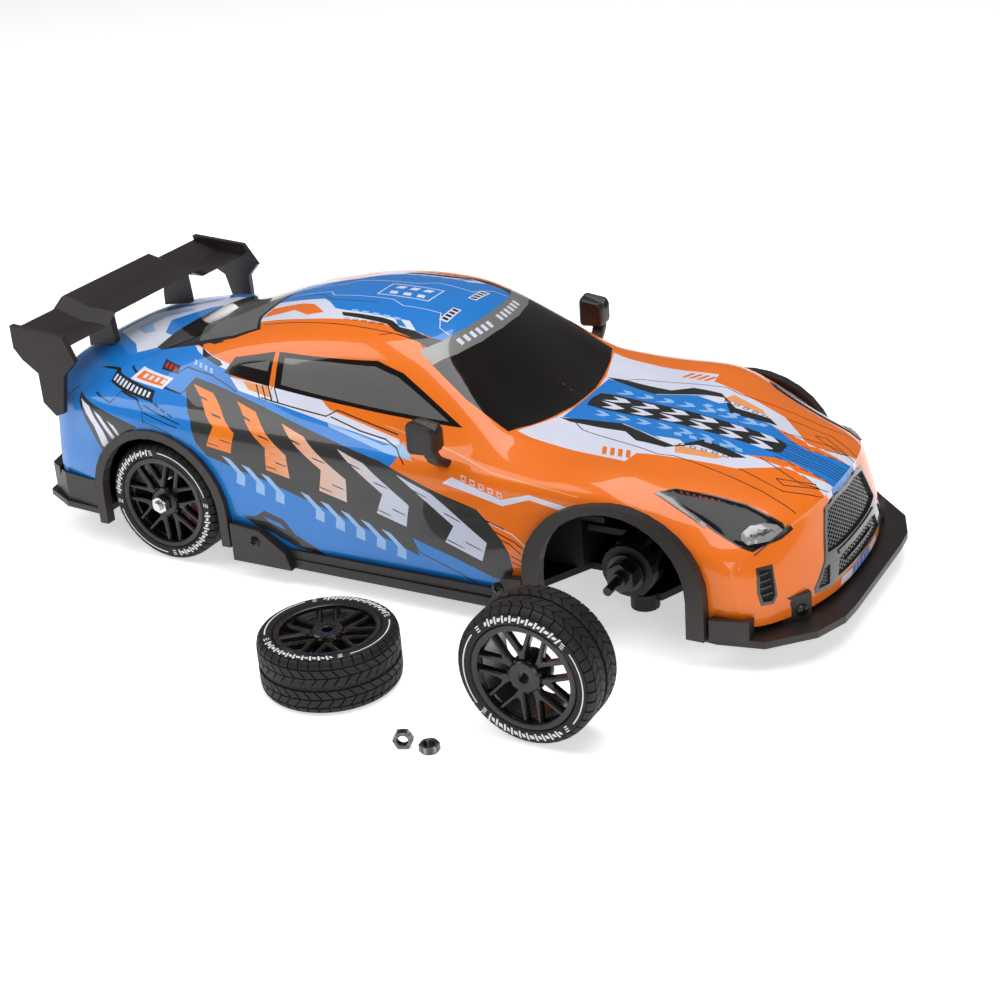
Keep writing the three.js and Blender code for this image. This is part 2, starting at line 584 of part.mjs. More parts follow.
function steeringLink() {
  const slotReach = 1.5; // how far a pin swings along X at full lock
  const play = 1.35;
  const beam = box(LINK_X - 5, LINK_X + 4.4, -39, 39, LINK_BOTTOM, LINK_TOP);
  const knuckleSlots = [-1, 1].map((side) => box(LINK_X - play, LINK_X + slotReach + play,
    side * KINGPIN_OUT - play, side * KINGPIN_OUT + play, 30, 40));
  const hornSlot = box(LINK_X - slotReach - play, LINK_X + play, HORN_AT[1] - play, HORN_AT[1] + play, 30, 40);
  return beam.subtract(union(...knuckleSlots, hornSlot));
}

// ---- Electrics ----
const batteryPack = () => box(-53, 1, -36.4, -13, TRAY_TOP + GAP, 27.5);
const controlBoard = () => box(-62, -39, 6, 36, TRAY_TOP + GAP, 21);
const batteryDoor = () => box(DOOR.x0 + GAP, DOOR.x1 - GAP, DOOR.y0 + GAP, DOOR.y1 - GAP, TRAY_BOTTOM, TRAY_TOP - GAP);
const powerSwitch = () => box(SWITCH.x - 3.6, SWITCH.x + 0.4, SWITCH.y - 1.8, SWITCH.y + 1.8, 5.4, 11);

// ---- Wheels: the right wheel round its own axle, at its mounted place across the car ----
const SPOKES = 7;
const FORK_SPREAD = 4.5;
const FORK_END = 15.2;
const ARM_WIDTH = 1.7;
const SPOKE_LEAN = 7;
const STUB_BORE = 1.8;
function rim() {
  const out = -WHEEL_FACE;
  const inn = -WHEEL_FACE + TYRE_WIDTH;
  const barrel = turned([[14.6, out + 0.4], [16.9, out + 0.2], [16.9, out + 0.9], [RIM_RADIUS, out + 1.2],
    [RIM_RADIUS, inn], [14.6, inn], [14.6, out + 0.4]], 28);
  const hub = bar('y', 5.9, out + 0.6, -50, [0, 0], 18);
  const stem = [[-1.1, 4.5], [1.1, 4.5], [1.3, 7.2]];
  const fork = [[FORK_SPREAD + ARM_WIDTH / 2, FORK_END], [FORK_SPREAD - ARM_WIDTH / 2, FORK_END], [0, 8.8]];
  const mirrored = [...fork.slice(0, 2), stem[2]].reverse().map(([x, z]) => [-x, z]);
  const spoke = [...stem, ...fork, mirrored[1], mirrored[2], mirrored[0]];
  const arms = [];
  for (let i = 0; i < SPOKES; i += 1) {
    const arm = sidePlate(spoke, out + 1.2, out + 3.6);
    arms.push(arm.rotate([0, (360 / SPOKES) * i - SPOKE_LEAN, 0]));
  }
  const socket = hexBar(HEX_FLATS + 0.6, -54.2, -40);
  const shoulderBore = bar('y', 2.9, -55.8, -40, [0, 0], 12);
  const stubBore = bar('y', STUB_BORE, out - 5, -40, [0, 0], 16);
  return union(barrel, hub, ...arms).subtract(socket).subtract(shoulderBore).subtract(stubBore);
}

function tyre() {
  const out = -WHEEL_FACE;
  const inn = -WHEEL_FACE + TYRE_WIDTH;
  const half = [[RIM_RADIUS + GAP, out + 1.5], [17.2, out + 1.2], [17.3, out + 0.1], [21, out + 0.3],
    [TYRE_RADIUS, out + 2.6]];
  const other = half.map(([radius, y]) => [radius, out + inn - y]).reverse();
  return turned([...half, ...other, half[0]], 32);
}

const NUT_FLATS = 5.5;
function wheelNut() {
  const seat = -WHEEL_FACE + 0.6 - GAP;
  const nut = hexBar(NUT_FLATS, seat - 2.4, seat);
  return nut.subtract(bar('y', NUT_HOLE, seat - 9, seat + 5, [0, 0]));
}

const NUT_HEIGHT = 2.4;
const NUT_HOLE = 1.62;
function nutLyingFlat([x, y], turn) {
  const nut = bar('z', NUT_FLATS / Math.sqrt(3), 0, NUT_HEIGHT, [0, 0], 6);
  return nut.subtract(bar('z', NUT_HOLE, -1, NUT_HEIGHT + 1, [0, 0])).rotate([0, 0, turn]).translate(x, y, 0);
}

// This nut stands on one of its flats.
function nutOnEdge([x, y], turn) {
  const nut = hexBar(NUT_FLATS, -NUT_HEIGHT / 2, NUT_HEIGHT / 2);
  const hole = bar('y', NUT_HOLE, -NUT_HEIGHT, NUT_HEIGHT, [0, 0]);
  return nut.subtract(hole).rotate([0, 30, 0]).rotate([0, 0, turn]).translate(x, y, NUT_FLATS / 2);
}

// ---- Assembly ----
const COLOURS = {
  trim: { color: 0x37302d, roughness: 0.55, metalness: 0 },
  paint: { color: 0xf0781a, roughness: 0.2, metalness: 0 },
  nylon: { color: 0x1c1b1b, roughness: 0.6, metalness: 0 },
  steel: { color: 0xc9cacc, roughness: 0.25, metalness: 1 },
  gunmetal: { color: 0x4a4a4c, roughness: 0.3, metalness: 1 },
  rubber: { color: 0x1b1b1c, roughness: 0.85, metalness: 0 },
  rim: { color: 0x151516, roughness: 0.4, metalness: 0 },
  wrap: { color: 0x2c5f9e, roughness: 0.45, metalness: 0 },
  board: { color: 0x1d5a34, roughness: 0.5, metalness: 0 },
};

const car = new THREE.Group();

function piece(name, solid, colours) {
  const mesh = new THREE.Mesh(toGeometry(solid), new THREE.MeshStandardMaterial(colours));
  mesh.name = name;
  car.add(mesh);
}

// A piece drawn for the right side, and its mirror image on the left.
function pair(name, solid, colours) {
  piece(`${name}_right`, solid, colours);
  piece(`${name}_left`, solid.mirror([0, 1, 0]), colours);
}

const atFront = (solid) => solid.translate(AXLE_X, 0, AXLE_Z);
const atRear = (solid) => solid.translate(-AXLE_X, 0, AXLE_Z);
const onLeft = (solid) => solid.mirror([0, 1, 0]);
const pulledOff = (solid) => atFront(solid).translate(0, -PULL_OFF, 0);
const layingFlat = (solid) => solid.translate(0, WHEEL_FACE - TYRE_WIDTH, 0).rotate([-90, 0, 0])
  .translate(SPARE_AT[0], SPARE_AT[1], 0);

const wingRoom = wing();
const skirtRoom = sideSkirt().add(sideSkirt().mirror([0, 1, 0]));

piece('body_shell', bodyShell(), COLOURS.paint);
piece('front_splitter', frontSplitter(), COLOURS.trim);
piece('rear_diffuser', rearDiffuser(), COLOURS.trim);
pair('front_arch_trim', frontArchTrim(), COLOURS.trim);
pair('rear_arch_trim', rearArchTrim(), COLOURS.trim);
pair('side_skirt', sideSkirt(), COLOURS.trim);
piece('wing', wingRoom, COLOURS.trim);
pair('wing_strut', wingStrut(), COLOURS.trim);
pair('mirror', mirror(), COLOURS.trim);

piece('chassis_tray', chassisTray(), COLOURS.nylon);
piece('battery_pack', batteryPack(), COLOURS.wrap);
piece('battery_door', batteryDoor(), COLOURS.nylon);
piece('control_board', controlBoard(), COLOURS.board);
piece('power_switch', powerSwitch(), COLOURS.nylon);
piece('motor', motor(), COLOURS.steel);
piece('motor_mount', motorMount(), COLOURS.steel);
piece('motor_pinion', motorPinion(), COLOURS.steel);
piece('centre_shaft', centreShaft(), COLOURS.steel);
piece('front_gearbox_case', gearboxCase(AXLE_X, -1, 3.8), COLOURS.nylon);
piece('front_spool', atFront(frontSpool()), COLOURS.steel);
piece('rear_gearbox_case', gearboxCase(-AXLE_X, 1, 2.6), COLOURS.nylon);
piece('rear_axle', atRear(rearAxle()), COLOURS.steel);
pair('rear_axle_tube', atRear(rearAxleTube()), COLOURS.nylon);

piece('front_upper_arm', frontUpperArm(), COLOURS.nylon);
pair('kingpin', kingpin(), COLOURS.steel);
pair('kingpin_spring', kingpinSpring(), COLOURS.steel);
const rightKnuckle = atFront(knuckle());
pair('knuckle', rightKnuckle, COLOURS.nylon);
pair('front_axle', atFront(frontAxle()), COLOURS.steel);
pair('dogbone', atFront(dogbone()), COLOURS.steel);
piece('steering_servo', steeringServo(), COLOURS.nylon);
piece('servo_horn', servoHorn(), COLOURS.nylon);
piece('steering_link', steeringLink(), COLOURS.nylon);

const WHEEL_PLACES = [
  ['rear_right', atRear],
  ['rear_left', (solid) => onLeft(atRear(solid))],
  ['front_left', (solid) => onLeft(atFront(solid))],
  ['front_right', pulledOff],
  ['spare', layingFlat],
];
WHEEL_PLACES.forEach(([place, put]) => {
  piece(`rim_${place}`, put(rim()), COLOURS.rim);
  piece(`tyre_${place}`, put(tyre()), COLOURS.rubber);
});
WHEEL_PLACES.slice(0, 3).forEach(([place, put]) => piece(`wheel_nut_${place}`, put(wheelNut()), COLOURS.steel));
piece('loose_nut_one', nutOnEdge(NUT_ONE_AT, 25), COLOURS.gunmetal);
piece('loose_nut_two', nutLyingFlat(NUT_TWO_AT, 34), COLOURS.gunmetal);

// The middle of the whole footprint stands on the origin.
const extent = new THREE.Box3().setFromObject(car);
const middle = extent.getCenter(new THREE.Vector3());
car.position.set(-middle.x, -middle.y, -extent.min.z);

export default car;
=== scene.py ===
"""Looks of the 1:16 drift car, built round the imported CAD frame.

Shapes are worked out in millimetres in the car's own coordinates: nose toward +X, left toward +Y, and the
middle of the wheelbase on the ground at the origin. metres() turns them into the frame's metres.
"""
import json
import math

import bmesh
import bpy
import numpy as np
from mathutils import Matrix, Vector
from mathutils.geometry import delaunay_2d_cdt


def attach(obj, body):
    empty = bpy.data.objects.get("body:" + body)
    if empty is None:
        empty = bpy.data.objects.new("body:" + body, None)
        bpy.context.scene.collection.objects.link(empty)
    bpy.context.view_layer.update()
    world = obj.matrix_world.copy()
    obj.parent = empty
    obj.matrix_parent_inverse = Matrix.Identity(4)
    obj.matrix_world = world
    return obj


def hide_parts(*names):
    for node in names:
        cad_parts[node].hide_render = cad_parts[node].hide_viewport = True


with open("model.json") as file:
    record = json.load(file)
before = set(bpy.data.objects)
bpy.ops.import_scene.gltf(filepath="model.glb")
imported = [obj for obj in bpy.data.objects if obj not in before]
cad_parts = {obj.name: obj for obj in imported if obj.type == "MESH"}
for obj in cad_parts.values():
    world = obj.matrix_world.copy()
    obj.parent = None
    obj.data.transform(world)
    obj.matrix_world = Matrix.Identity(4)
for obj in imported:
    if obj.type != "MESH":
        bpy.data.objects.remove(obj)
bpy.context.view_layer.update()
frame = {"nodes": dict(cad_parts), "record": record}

# ---------------------------------------------------------------- sizes, in millimetres
AXLE_X = 86.9
AXLE_Z = 22.25
WHEEL_FACE = 59.0
TYRE_WIDTH = 18.4
PULL_OFF = 60.0
SPARE_AT = (13.0, -108.0)
HALF_WIDTH = 59.0
REAR, FRONT = -147.0, 147.0
WALL = 1.2
ARCH_HOLE = 27.0

UNDERSIDE = frame["record"]["mounts"][0]["pos_m"]
SHIFT = np.array([UNDERSIDE[0] * 1000 - 20, UNDERSIDE[1] * 1000, UNDERSIDE[2] * 1000 - 7])


def metres(points):
    return (np.asarray(points, float) + SHIFT) / 1000


# ---------------------------------------------------------------- materials
def new_material(name):
    mat = bpy.data.materials.new(name)
    mat.use_nodes = True
    nodes = mat.node_tree.nodes
    return mat, nodes, mat.node_tree.links, nodes["Principled BSDF"]


def noise(nodes, links, coords, scale, detail=3.0, stretch=(1, 1, 1)):
    mapping = nodes.new("ShaderNodeMapping")
    mapping.inputs["Scale"].default_value = stretch
    links.new(coords.outputs["Object"], mapping.inputs["Vector"])
    tex = nodes.new("ShaderNodeTexNoise")
    tex.inputs["Scale"].default_value = scale
    tex.inputs["Detail"].default_value = detail
    links.new(mapping.outputs["Vector"], tex.inputs["Vector"])
    return tex.outputs["Fac"]


def spread(nodes, links, fac, low, high, from_low=0.3, from_high=0.7):
    ramp = nodes.new("ShaderNodeMapRange")
    ramp.inputs["From Min"].default_value = from_low
    ramp.inputs["From Max"].default_value = from_high
    ramp.inputs["To Min"].default_value = low
    ramp.inputs["To Max"].default_value = high
    links.new(fac, ramp.inputs["Value"])
    return ramp.outputs["Result"]


def mix_colour(nodes, links, fac, first, second):
    mix = nodes.new("ShaderNodeMix")
    mix.data_type = "RGBA"
    links.new(fac, mix.inputs["Factor"])
    for socket, value in ((mix.inputs[6], first), (mix.inputs[7], second)):
        if isinstance(value, tuple):
            socket.default_value = (*value, 1)
        else:
            links.new(value, socket)
    return mix.outputs[2]


def finish_material(name, colour, rough, vary=0.12, grain=900.0, bump=0.05, metal=0.0, coat=0.0,
                    coat_rough=0.03,
                    wear=0.0, wear_colour=(0.5, 0.5, 0.5), blotch=60.0, stretch=(1, 1, 1), specular=0.5):
    """A finish with mottled colour, uneven roughness, fine relief and, if asked, rubbed edges."""
    mat, nodes, links, shader = new_material(name)
    coords = nodes.new("ShaderNodeTexCoord")
    darker = tuple(c * (1 - vary) for c in colour)
    lighter = tuple(min(1.0, c * (1 + vary * 0.6)) for c in colour)
    large = noise(nodes, links, coords, blotch, 4.0, stretch)
    base = mix_colour(nodes, links, spread(nodes, links, large, 0, 1), darker, lighter)
    if wear:
        geometry = nodes.new("ShaderNodeNewGeometry")
        edge = spread(nodes, links, geometry.outputs["Pointiness"], 0, wear, 0.53, 0.6)
        base = mix_colour(nodes, links, edge, base, wear_colour)
    links.new(base, shader.inputs["Base Color"])
    fine = noise(nodes, links, coords, grain, 2.0, stretch)
    links.new(spread(nodes, links, fine, max(0.02, rough * 0.82), min(1.0, rough * 1.18)),
              shader.inputs["Roughness"])
    relief = nodes.new("ShaderNodeBump")
    relief.inputs["Strength"].default_value = bump
    relief.inputs["Distance"].default_value = 0.0002
    links.new(fine, relief.inputs["Height"])
    links.new(relief.outputs["Normal"], shader.inputs["Normal"])
    shader.inputs["Metallic"].default_value = metal
    shader.inputs["Coat Weight"].default_value = coat
    shader.inputs["Coat Roughness"].default_value = coat_rough
    shader.inputs["Specular IOR Level"].default_value = specular
    return mat


def printed(name, colour, rough=0.42):
    """Ink printed behind the glossy film of the shell."""
    return finish_material(name, colour, rough, vary=0.045, grain=2600, bump=0.008, coat=0.7, coat_rough=0.02,
                           blotch=38, specular=0.25)


def fading_ink(name, rear_colour, middle_colour, front_colour, rear_x, front_x):
    """Ink whose colour fades along the car, with a fine printed streak."""
    mat = printed(name, rear_colour)
    nodes, links = mat.node_tree.nodes, mat.node_tree.links
    shader = nodes["Principled BSDF"]
    coords = nodes.new("ShaderNodeTexCoord")
    split = nodes.new("ShaderNodeSeparateXYZ")
    links.new(coords.outputs["Object"], split.inputs["Vector"])
    along = spread(nodes, links, split.outputs["X"], 0, 1, (rear_x + SHIFT[0]) / 1000,
                   (front_x + SHIFT[0]) / 1000)
    streak = noise(nodes, links, coords, 900, 2, (0.25, 1, 3))
    add = nodes.new("ShaderNodeMath")
    add.operation = "ADD"
    links.new(along, add.inputs[0])
    links.new(spread(nodes, links, streak, -0.05, 0.05), add.inputs[1])
    ramp = nodes.new("ShaderNodeValToRGB")
    ramp.color_ramp.elements[0].color = (*rear_colour, 1)
    ramp.color_ramp.elements[0].position = 0.28
    ramp.color_ramp.elements[1].color = (*front_colour, 1)
    ramp.color_ramp.elements[1].position = 0.62
    middle = ramp.color_ramp.elements.new(0.45)
    middle.color = (*middle_colour, 1)
    links.new(add.outputs[0], ramp.inputs["Fac"])
    links.new(ramp.outputs["Color"], shader.inputs["Base Color"])
    return mat


ORANGE = (0.90, 0.180, 0.003)
BLUE = (0.006, 0.205, 0.66)
WHITE = (0.74, 0.76, 0.90)
INK = (0.008, 0.0075, 0.008)
M = {
    "orange": printed("ink_orange", ORANGE),
    "deep_orange": printed("ink_deep_orange", (0.80, 0.17, 0.004)),
    "pale_orange": printed("ink_pale_orange", (0.88, 0.36, 0.13)),
    "blue": printed("ink_blue", BLUE),
    "light_blue": printed("ink_light_blue", (0.30, 0.52, 0.86)),
    "white": printed("ink_white", WHITE),
    "ink": printed("ink_black", INK),
    "dark": printed("ink_dark_grey", (0.028, 0.027, 0.026)),
    "glass": finish_material("window_black", (0.007, 0.0045, 0.004), 0.10, 0.2, 1800, 0.004, coat=0.5,
                             coat_rough=0.015, blotch=30, specular=0.25),
    "side_glass": finish_material("window_grey", (0.125, 0.123, 0.120), 0.30, 0.08, 2200, 0.01, coat=1.0,
                                  coat_rough=0.03, blotch=25),
    "banner": finish_material("banner_grey", (0.19, 0.19, 0.185), 0.32, 0.06, 3000, 0.03, coat=1.0,
                              coat_rough=0.05, blotch=90),
    "red": printed("ink_red", (0.50, 0.012, 0.014)),
    "lens_grey": finish_material("lamp_grey", (0.16, 0.16, 0.16), 0.22, 0.12, 700, 0.03, coat=1.0,
                                 coat_rough=0.03),
    "fade": fading_ink("ink_fade", (0.90, 0.215, 0.006), (0.80, 0.50, 0.36), (0.62, 0.66, 0.80), -85, 60),
    "inside": finish_material("shell_inside", (0.012, 0.009, 0.008), 0.6, 0.3, 500, 0.1),
    "trim": finish_material("satin_trim", (0.0175, 0.0135, 0.012), 0.42, 0.14, 1500, 0.07, wear=0.2,
                            wear_colour=(0.07, 0.062, 0.058), blotch=45, specular=0.42),
    "nylon": finish_material("filled_nylon", (0.005, 0.0042, 0.004), 0.5, 0.25, 1100, 0.10, wear=0.2,
                             wear_colour=(0.04, 0.038, 0.036), specular=0.3),
    "rim": finish_material("satin_rim", (0.0065, 0.0052, 0.005), 0.26, 0.2, 1600, 0.008, specular=0.5),
    "rubber": finish_material("tyre_rubber", (0.0078, 0.0062, 0.0058), 0.6, 0.25, 1300, 0.16, wear=0.2,
                              wear_colour=(0.03, 0.027, 0.026), blotch=110, specular=0.36),
    "mark": finish_material("tyre_white", (0.78, 0.78, 0.77), 0.55, 0.05, 1900, 0.08, blotch=150),
    "steel": finish_material("turned_steel", (0.62, 0.62, 0.63), 0.22, 0.12, 1400, 0.10, metal=1.0,
                             stretch=(1, 6, 1)),
    "black_steel": finish_material("black_steel", (0.05, 0.048, 0.047), 0.30, 0.25, 1200, 0.12, metal=0.9),
    "gunmetal": finish_material("dark_nickel", (0.075, 0.070, 0.067), 0.26, 0.2, 900, 0.10, metal=1.0,
                                wear=0.5,
                                wear_colour=(0.40, 0.39, 0.38)),
    "disc": finish_material("brake_disc", (0.07, 0.068, 0.066), 0.34, 0.15, 800, 0.10, metal=0.6),
    "caliper": finish_material("caliper_red", (0.16, 0.010, 0.008), 0.35, 0.15, 900, 0.06, coat=0.5),
    "wrap": finish_material("battery_sleeve", (0.02, 0.07, 0.28), 0.30, 0.12, 500, 0.15, coat=0.6),
    "board": finish_material("circuit_board", (0.010, 0.07, 0.022), 0.35, 0.3, 600, 0.10, coat=0.5,
                             blotch=300),
    "plate": finish_material("brushed_plate", (0.50, 0.50, 0.52), 0.32, 0.12, 700, 0.15, metal=1.0,
                             stretch=(1, 12, 1)),
    "mesh": finish_material("grille_mesh", (0.020, 0.019, 0.019), 0.38, 0.2, 900, 0.05, coat=0.6),
    "lamp_cover": finish_material("lamp_cover", (0.006, 0.005, 0.005), 0.2, 0.2, 1500, 0.006, coat=0.35,
                                  coat_rough=0.02, blotch=80, specular=0.12),
    "lens": finish_material("lamp_lens", (0.30, 0.30, 0.31), 0.16, 0.12, 900, 0.02, coat=1.0, coat_rough=0.02,
                            blotch=260),
    "lens_dark": finish_material("lamp_bowl", (0.085, 0.082, 0.082), 0.2, 0.2, 1200, 0.03, coat=1.0,
                                 coat_rough=0.02, blotch=200),
    "bezel": finish_material("grille_bezel", (0.034, 0.031, 0.030), 0.24, 0.2, 900, 0.03, coat=0.8,
                             coat_rough=0.05, blotch=70),
    # painted shade: a near-black sheet that stands in for the shadowed hollow behind the grille and vent
    # openings
    "void": finish_material("painted_shade_black", (0.004, 0.0035, 0.0035), 0.7, 0.3, 400, 0.05),
}

# ---------------------------------------------------------------- mesh helpers
def make_object(name, points, faces, material="trim", smooth=True, body="car", slot_name=None, in_car=True):
    mesh = bpy.data.meshes.new(name)
    data = metres(points) if in_car else np.asarray(points, float) / 1000
    mesh.from_pydata([tuple(p) for p in data], [], [tuple(int(i) for i in f) for f in faces])
    mesh.update()
    names = [material] if isinstance(material, str) else list(material)
    for entry in names:
        mesh.materials.append(M[entry])
    for polygon in mesh.polygons:
        polygon.use_smooth = smooth
    obj = bpy.data.objects.new(name, mesh)
    bpy.context.scene.collection.objects.link(obj)
    if body:
        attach(obj, body)
    return obj


def face_outward(obj):
    work = bmesh.new()
    work.from_mesh(obj.data)
    bmesh.ops.remove_doubles(work, verts=work.verts, dist=1e-7)
    bmesh.ops.recalc_face_normals(work, faces=work.faces)
    work.to_mesh(obj.data)
    work.free()


def soften(obj, width=0.25, segments=2, angle=35.0):
    """Rounds the edges of a piece and keeps its flats flat."""
    bevel = obj.modifiers.new("edges", "BEVEL")
    bevel.width = width / 1000
    bevel.segments = segments
    bevel.limit_method = "ANGLE"
    bevel.angle_limit = math.radians(angle)
    bevel.use_clamp_overlap = True
    bevel.harden_normals = False
    for polygon in obj.data.polygons:
        polygon.use_smooth = True
    weighted = obj.modifiers.new("flats", "WEIGHTED_NORMAL")
    weighted.keep_sharp = True
    return obj


def join_parts(parts):
    points, faces, kinds = [], [], []
    for part in parts:
        start = len(points)
        points.extend(part[0])
        faces.extend([[start + i for i in f] for f in part[1]])
        kinds.extend([part[2] if len(part) > 2 else 0] * len(part[1]))
    return points, faces, kinds


def lathe(profile, count, axis_point=(0, 0, 0), closed=True, turn=0.0):
    """A turned shape round the Y direction. profile is [radius, y]."""
    points, faces = [], []
    rows = len(profile)
    for i in range(count):
        angle = 2 * math.pi * i / count + turn
        for radius, y in profile:
            points.append((axis_point[0] + radius * math.cos(angle), axis_point[1] + y,
                           axis_point[2] + radius * math.sin(angle)))
    last = rows if closed else rows - 1
    for i in range(count):
        for k in range(last):
            a = i * rows + k
            b = i * rows + (k + 1) % rows
            c = ((i + 1) % count) * rows + (k + 1) % rows
            d = ((i + 1) % count) * rows + k
            faces.append((a, b, c, d))
    return points, faces


# ---------------------------------------------------------------- the shell's surface
# Eight feature lines run from tail to nose. Each row is (x, half width, height).
BODY_LINES = [
    [(-147, 0, 62), (-125, 0, 65.5), (-104, 0, 69), (-84, 0, 75.6), (-62, 0, 82.6), (-38, 0, 87.4),
     (-16, 0, 88.4),
     (2, 0, 87), (13, 0, 84.4), (25, 0, 76.5), (49, 0, 58.6), (60, 0, 57.4), (90, 0, 55), (118, 0, 50.5),
     (135, 0, 46.5), (147, 0, 43.5)],
    [(-147, 20, 61.6), (-125, 20, 65), (-104, 18, 68.4), (-84, 18, 74.4), (-62, 18.5, 81.2), (-38, 19, 86),
     (-16, 19.5, 87), (2, 19, 85.6), (12, 18.5, 83), (24, 20, 75.2), (47, 22, 58.8), (60, 22, 57),
     (90, 22, 55.4),
     (118, 21, 50), (135, 20, 45.8), (147, 19, 43)],
    [(-147, 34, 60.4), (-125, 34, 63.6), (-104, 33.5, 66.6), (-84, 34, 71.6), (-62, 35, 77.4),
     (-38, 36, 81.4),
     (-16, 36.2, 82.6), (0, 35.8, 81), (9, 36, 78), (22, 38.6, 71), (43, 43, 59), (60, 40, 56.4),
     (90, 36, 55.2),
     (118, 34, 49.5), (135, 33, 45), (147, 31, 41.6)],
    [(-147, 42, 58.4), (-125, 44.5, 61.4), (-104, 46, 62.2), (-84, 48, 61.4), (-62, 50, 59.6),
     (-38, 51.5, 58.4),
     (-14, 52, 57.4), (4, 52, 57), (22, 51.4, 56.6), (43, 49.5, 56.2), (60, 48, 55.4), (90, 48, 54.8),
     (118, 46, 47),
     (135, 45, 41.5), (147, 43.5, 38)],
    [(-147, 51, 53), (-125, 56, 56.8), (-104, 57.4, 57.2), (-84, 57.6, 56), (-62, 56.8, 54.8),
     (-38, 56.2, 53.8),
     (-14, 56, 53), (14, 56, 52.4), (43, 56, 52), (64, 56.4, 52), (90, 57, 51.2), (118, 56, 43.5),
     (135, 55, 37),
     (147, 54.5, 33.5)],
    [(-147, 53.5, 38), (-120, 57.5, 40), (-87, 59, 40), (-60, 58.4, 39), (-14, 57.6, 38), (30, 57.6, 37),
     (60, 58, 37), (87, 58.8, 37), (118, 57.6, 32), (135, 56.5, 27), (147, 56, 25)],
    [(-147, 52.5, 26), (-120, 56.6, 24), (-87, 58, 22), (-60, 57.6, 20), (-14, 56.6, 20), (30, 56.6, 20),
     (60, 57, 20), (87, 58, 20), (118, 57.4, 20), (135, 56, 18), (147, 55.5, 17.5)],
    [(-147, 50, 18), (-120, 54, 15), (-87, 56, 12), (-60, 56.2, 11), (-14, 55.6, 11), (30, 55.6, 11),
     (60, 56, 11),
     (87, 56.5, 11.5), (118, 55.8, 12.5), (135, 54.5, 13), (147, 54, 13)],
]
ROOF_DROP = 0.15  # keeps the smoothed roof under the frame's highest point
GIRTH = np.array([0, 19, 36, 58, 65, 80, 98, 107.0])  # a typical distance round the section to each line


def hermite(start, end, start_slope, end_slope, t, h):
    return ((2 * t**3 - 3 * t**2 + 1) * start + (t**3 - 2 * t**2 + t) * h * start_slope
            + (-2 * t**3 + 3 * t**2) * end + (t**3 - t**2) * h * end_slope)


def make_line(rows):
    table = np.array(rows, float)
    at, values = table[:, 0], table[:, 1:]
    step = np.diff(at)
    slope = np.diff(values, axis=0) / step[:, None]
    tangent = np.zeros_like(values)
    tangent[0], tangent[-1] = slope[0], slope[-1]
    tangent[1:-1] = (slope[:-1] * step[1:, None] + slope[1:] * step[:-1,
                                                                    None]) / (step[1:] + step[:-1])[:, None]

    def value(x):
        held = np.clip(x, at[0], at[-1])
        i = np.clip(np.searchsorted(at, held) - 1, 0, len(at) - 2)
        t = ((held - at[i]) / step[i])[:, None]
        return hermite(values[i], values[i + 1], tangent[i], tangent[i + 1], t, step[i][:, None])
    return value


LINES = [make_line(rows) for rows in BODY_LINES]


def smooth_step(start, end, value):
    t = np.clip((value - start) / (end - start), 0, 1)
    return t * t * (3 - 2 * t)


def wrap_x(x, y, z):
    out = np.abs(y) / HALF_WIDTH
    nose = 22 * smooth_step(60, 147, x) * out**2.6 + 5.5 * smooth_step(105, 147, x) * smooth_step(15, 42, z)
    tail = smooth_step(-90, -147, x) * (12 * out**2.8 + 2.5 * smooth_step(20, 50, z))
    return x - nose + tail


def section(x, v):
    """Half width and height at station x, v lines out from the centreline."""
    q = np.stack([line(x) for line in LINES])
    q[..., 1] -= ROOF_DROP
    ghost = q[1] * np.array([-1, 1])
    ring = np.concatenate([ghost[None], q])
    step = np.linalg.norm(np.diff(ring, axis=0), axis=-1) + 1e-6
    slope = np.diff(ring, axis=0) / step[..., None]
    inner = (slope[:-1] * step[1:, :, None] + slope[1:] * step[:-1, :,
                                                               None]) / (step[1:] + step[:-1])[..., None]
    tangent = np.concatenate([inner, slope[-1:]])
    i = np.clip(np.floor(v).astype(int), 0, 6)
    n = np.arange(len(x))
    t = (v - i)[:, None]
    return hermite(q[i, n], q[i + 1, n], tangent[i, n], tangent[i + 1, n], t, step[i + 1, n][:, None])


def raw_loft(x, v):
    q = section(x, np.abs(v))
    return np.stack([wrap_x(x, q[:, 0], q[:, 1]), -q[:, 0] * np.where(v < 0, -1, 1), q[:, 1]], -1)


def unit(a):
    return a / (np.linalg.norm(a, axis=-1, keepdims=True) + 1e-12)


def normals_of(function, a, b, da, db, outward):
    pa = function(a + da, b) - function(a - da, b)
    pb = function(a, b + db) - function(a, b - db)
    n = unit(np.cross(pa, pb))
    return n * np.sign((n * outward).sum(-1, keepdims=True) + 1e-9)


def loft_normal(function, x, v):
    p = function(x, v)
    outward = np.stack([np.zeros(len(x)), p[:, 1], p[:, 2] - 30], -1)
    return normals_of(function, np.clip(x, REAR + 0.4, FRONT - 0.4), np.clip(v, 0.012, 6.988), 0.35, 0.01,
                      outward)


ROUND_REACH = 8.0
ROUND_DEPTH = 0.85


def end_normal(end, y, z):
    e = 0.3
    at = np.full_like(y, end)
    dy = (wrap_x(at, y + e, z) - wrap_x(at, y - e, z)) / (2 * e)
    dz = (wrap_x(at, y, z + e) - wrap_x(at, y, z - e)) / (2 * e)
    return unit(np.stack([np.ones_like(y), -dy, -dz], -1)) * (1 if end > 0 else -1)


def rounding(distance):
    return ROUND_DEPTH * np.clip(1 - distance / ROUND_REACH, 0, 1)**2


def loft(x, v):
    """The right half of the shell, with its edges rounded into the nose and the tail."""
    p = raw_loft(x, v)
    n = loft_normal(raw_loft, x, v)
    for end in (FRONT, REAR):
        gap = np.abs(wrap_x(np.full_like(x, end), p[:, 1], p[:, 2]) - p[:, 0])
        p = p - rounding(gap)[:, None] * (n + end_normal(end, p[:, 1], p[:, 2]))
    return p


RIM_V = np.linspace(0, 7, 141)


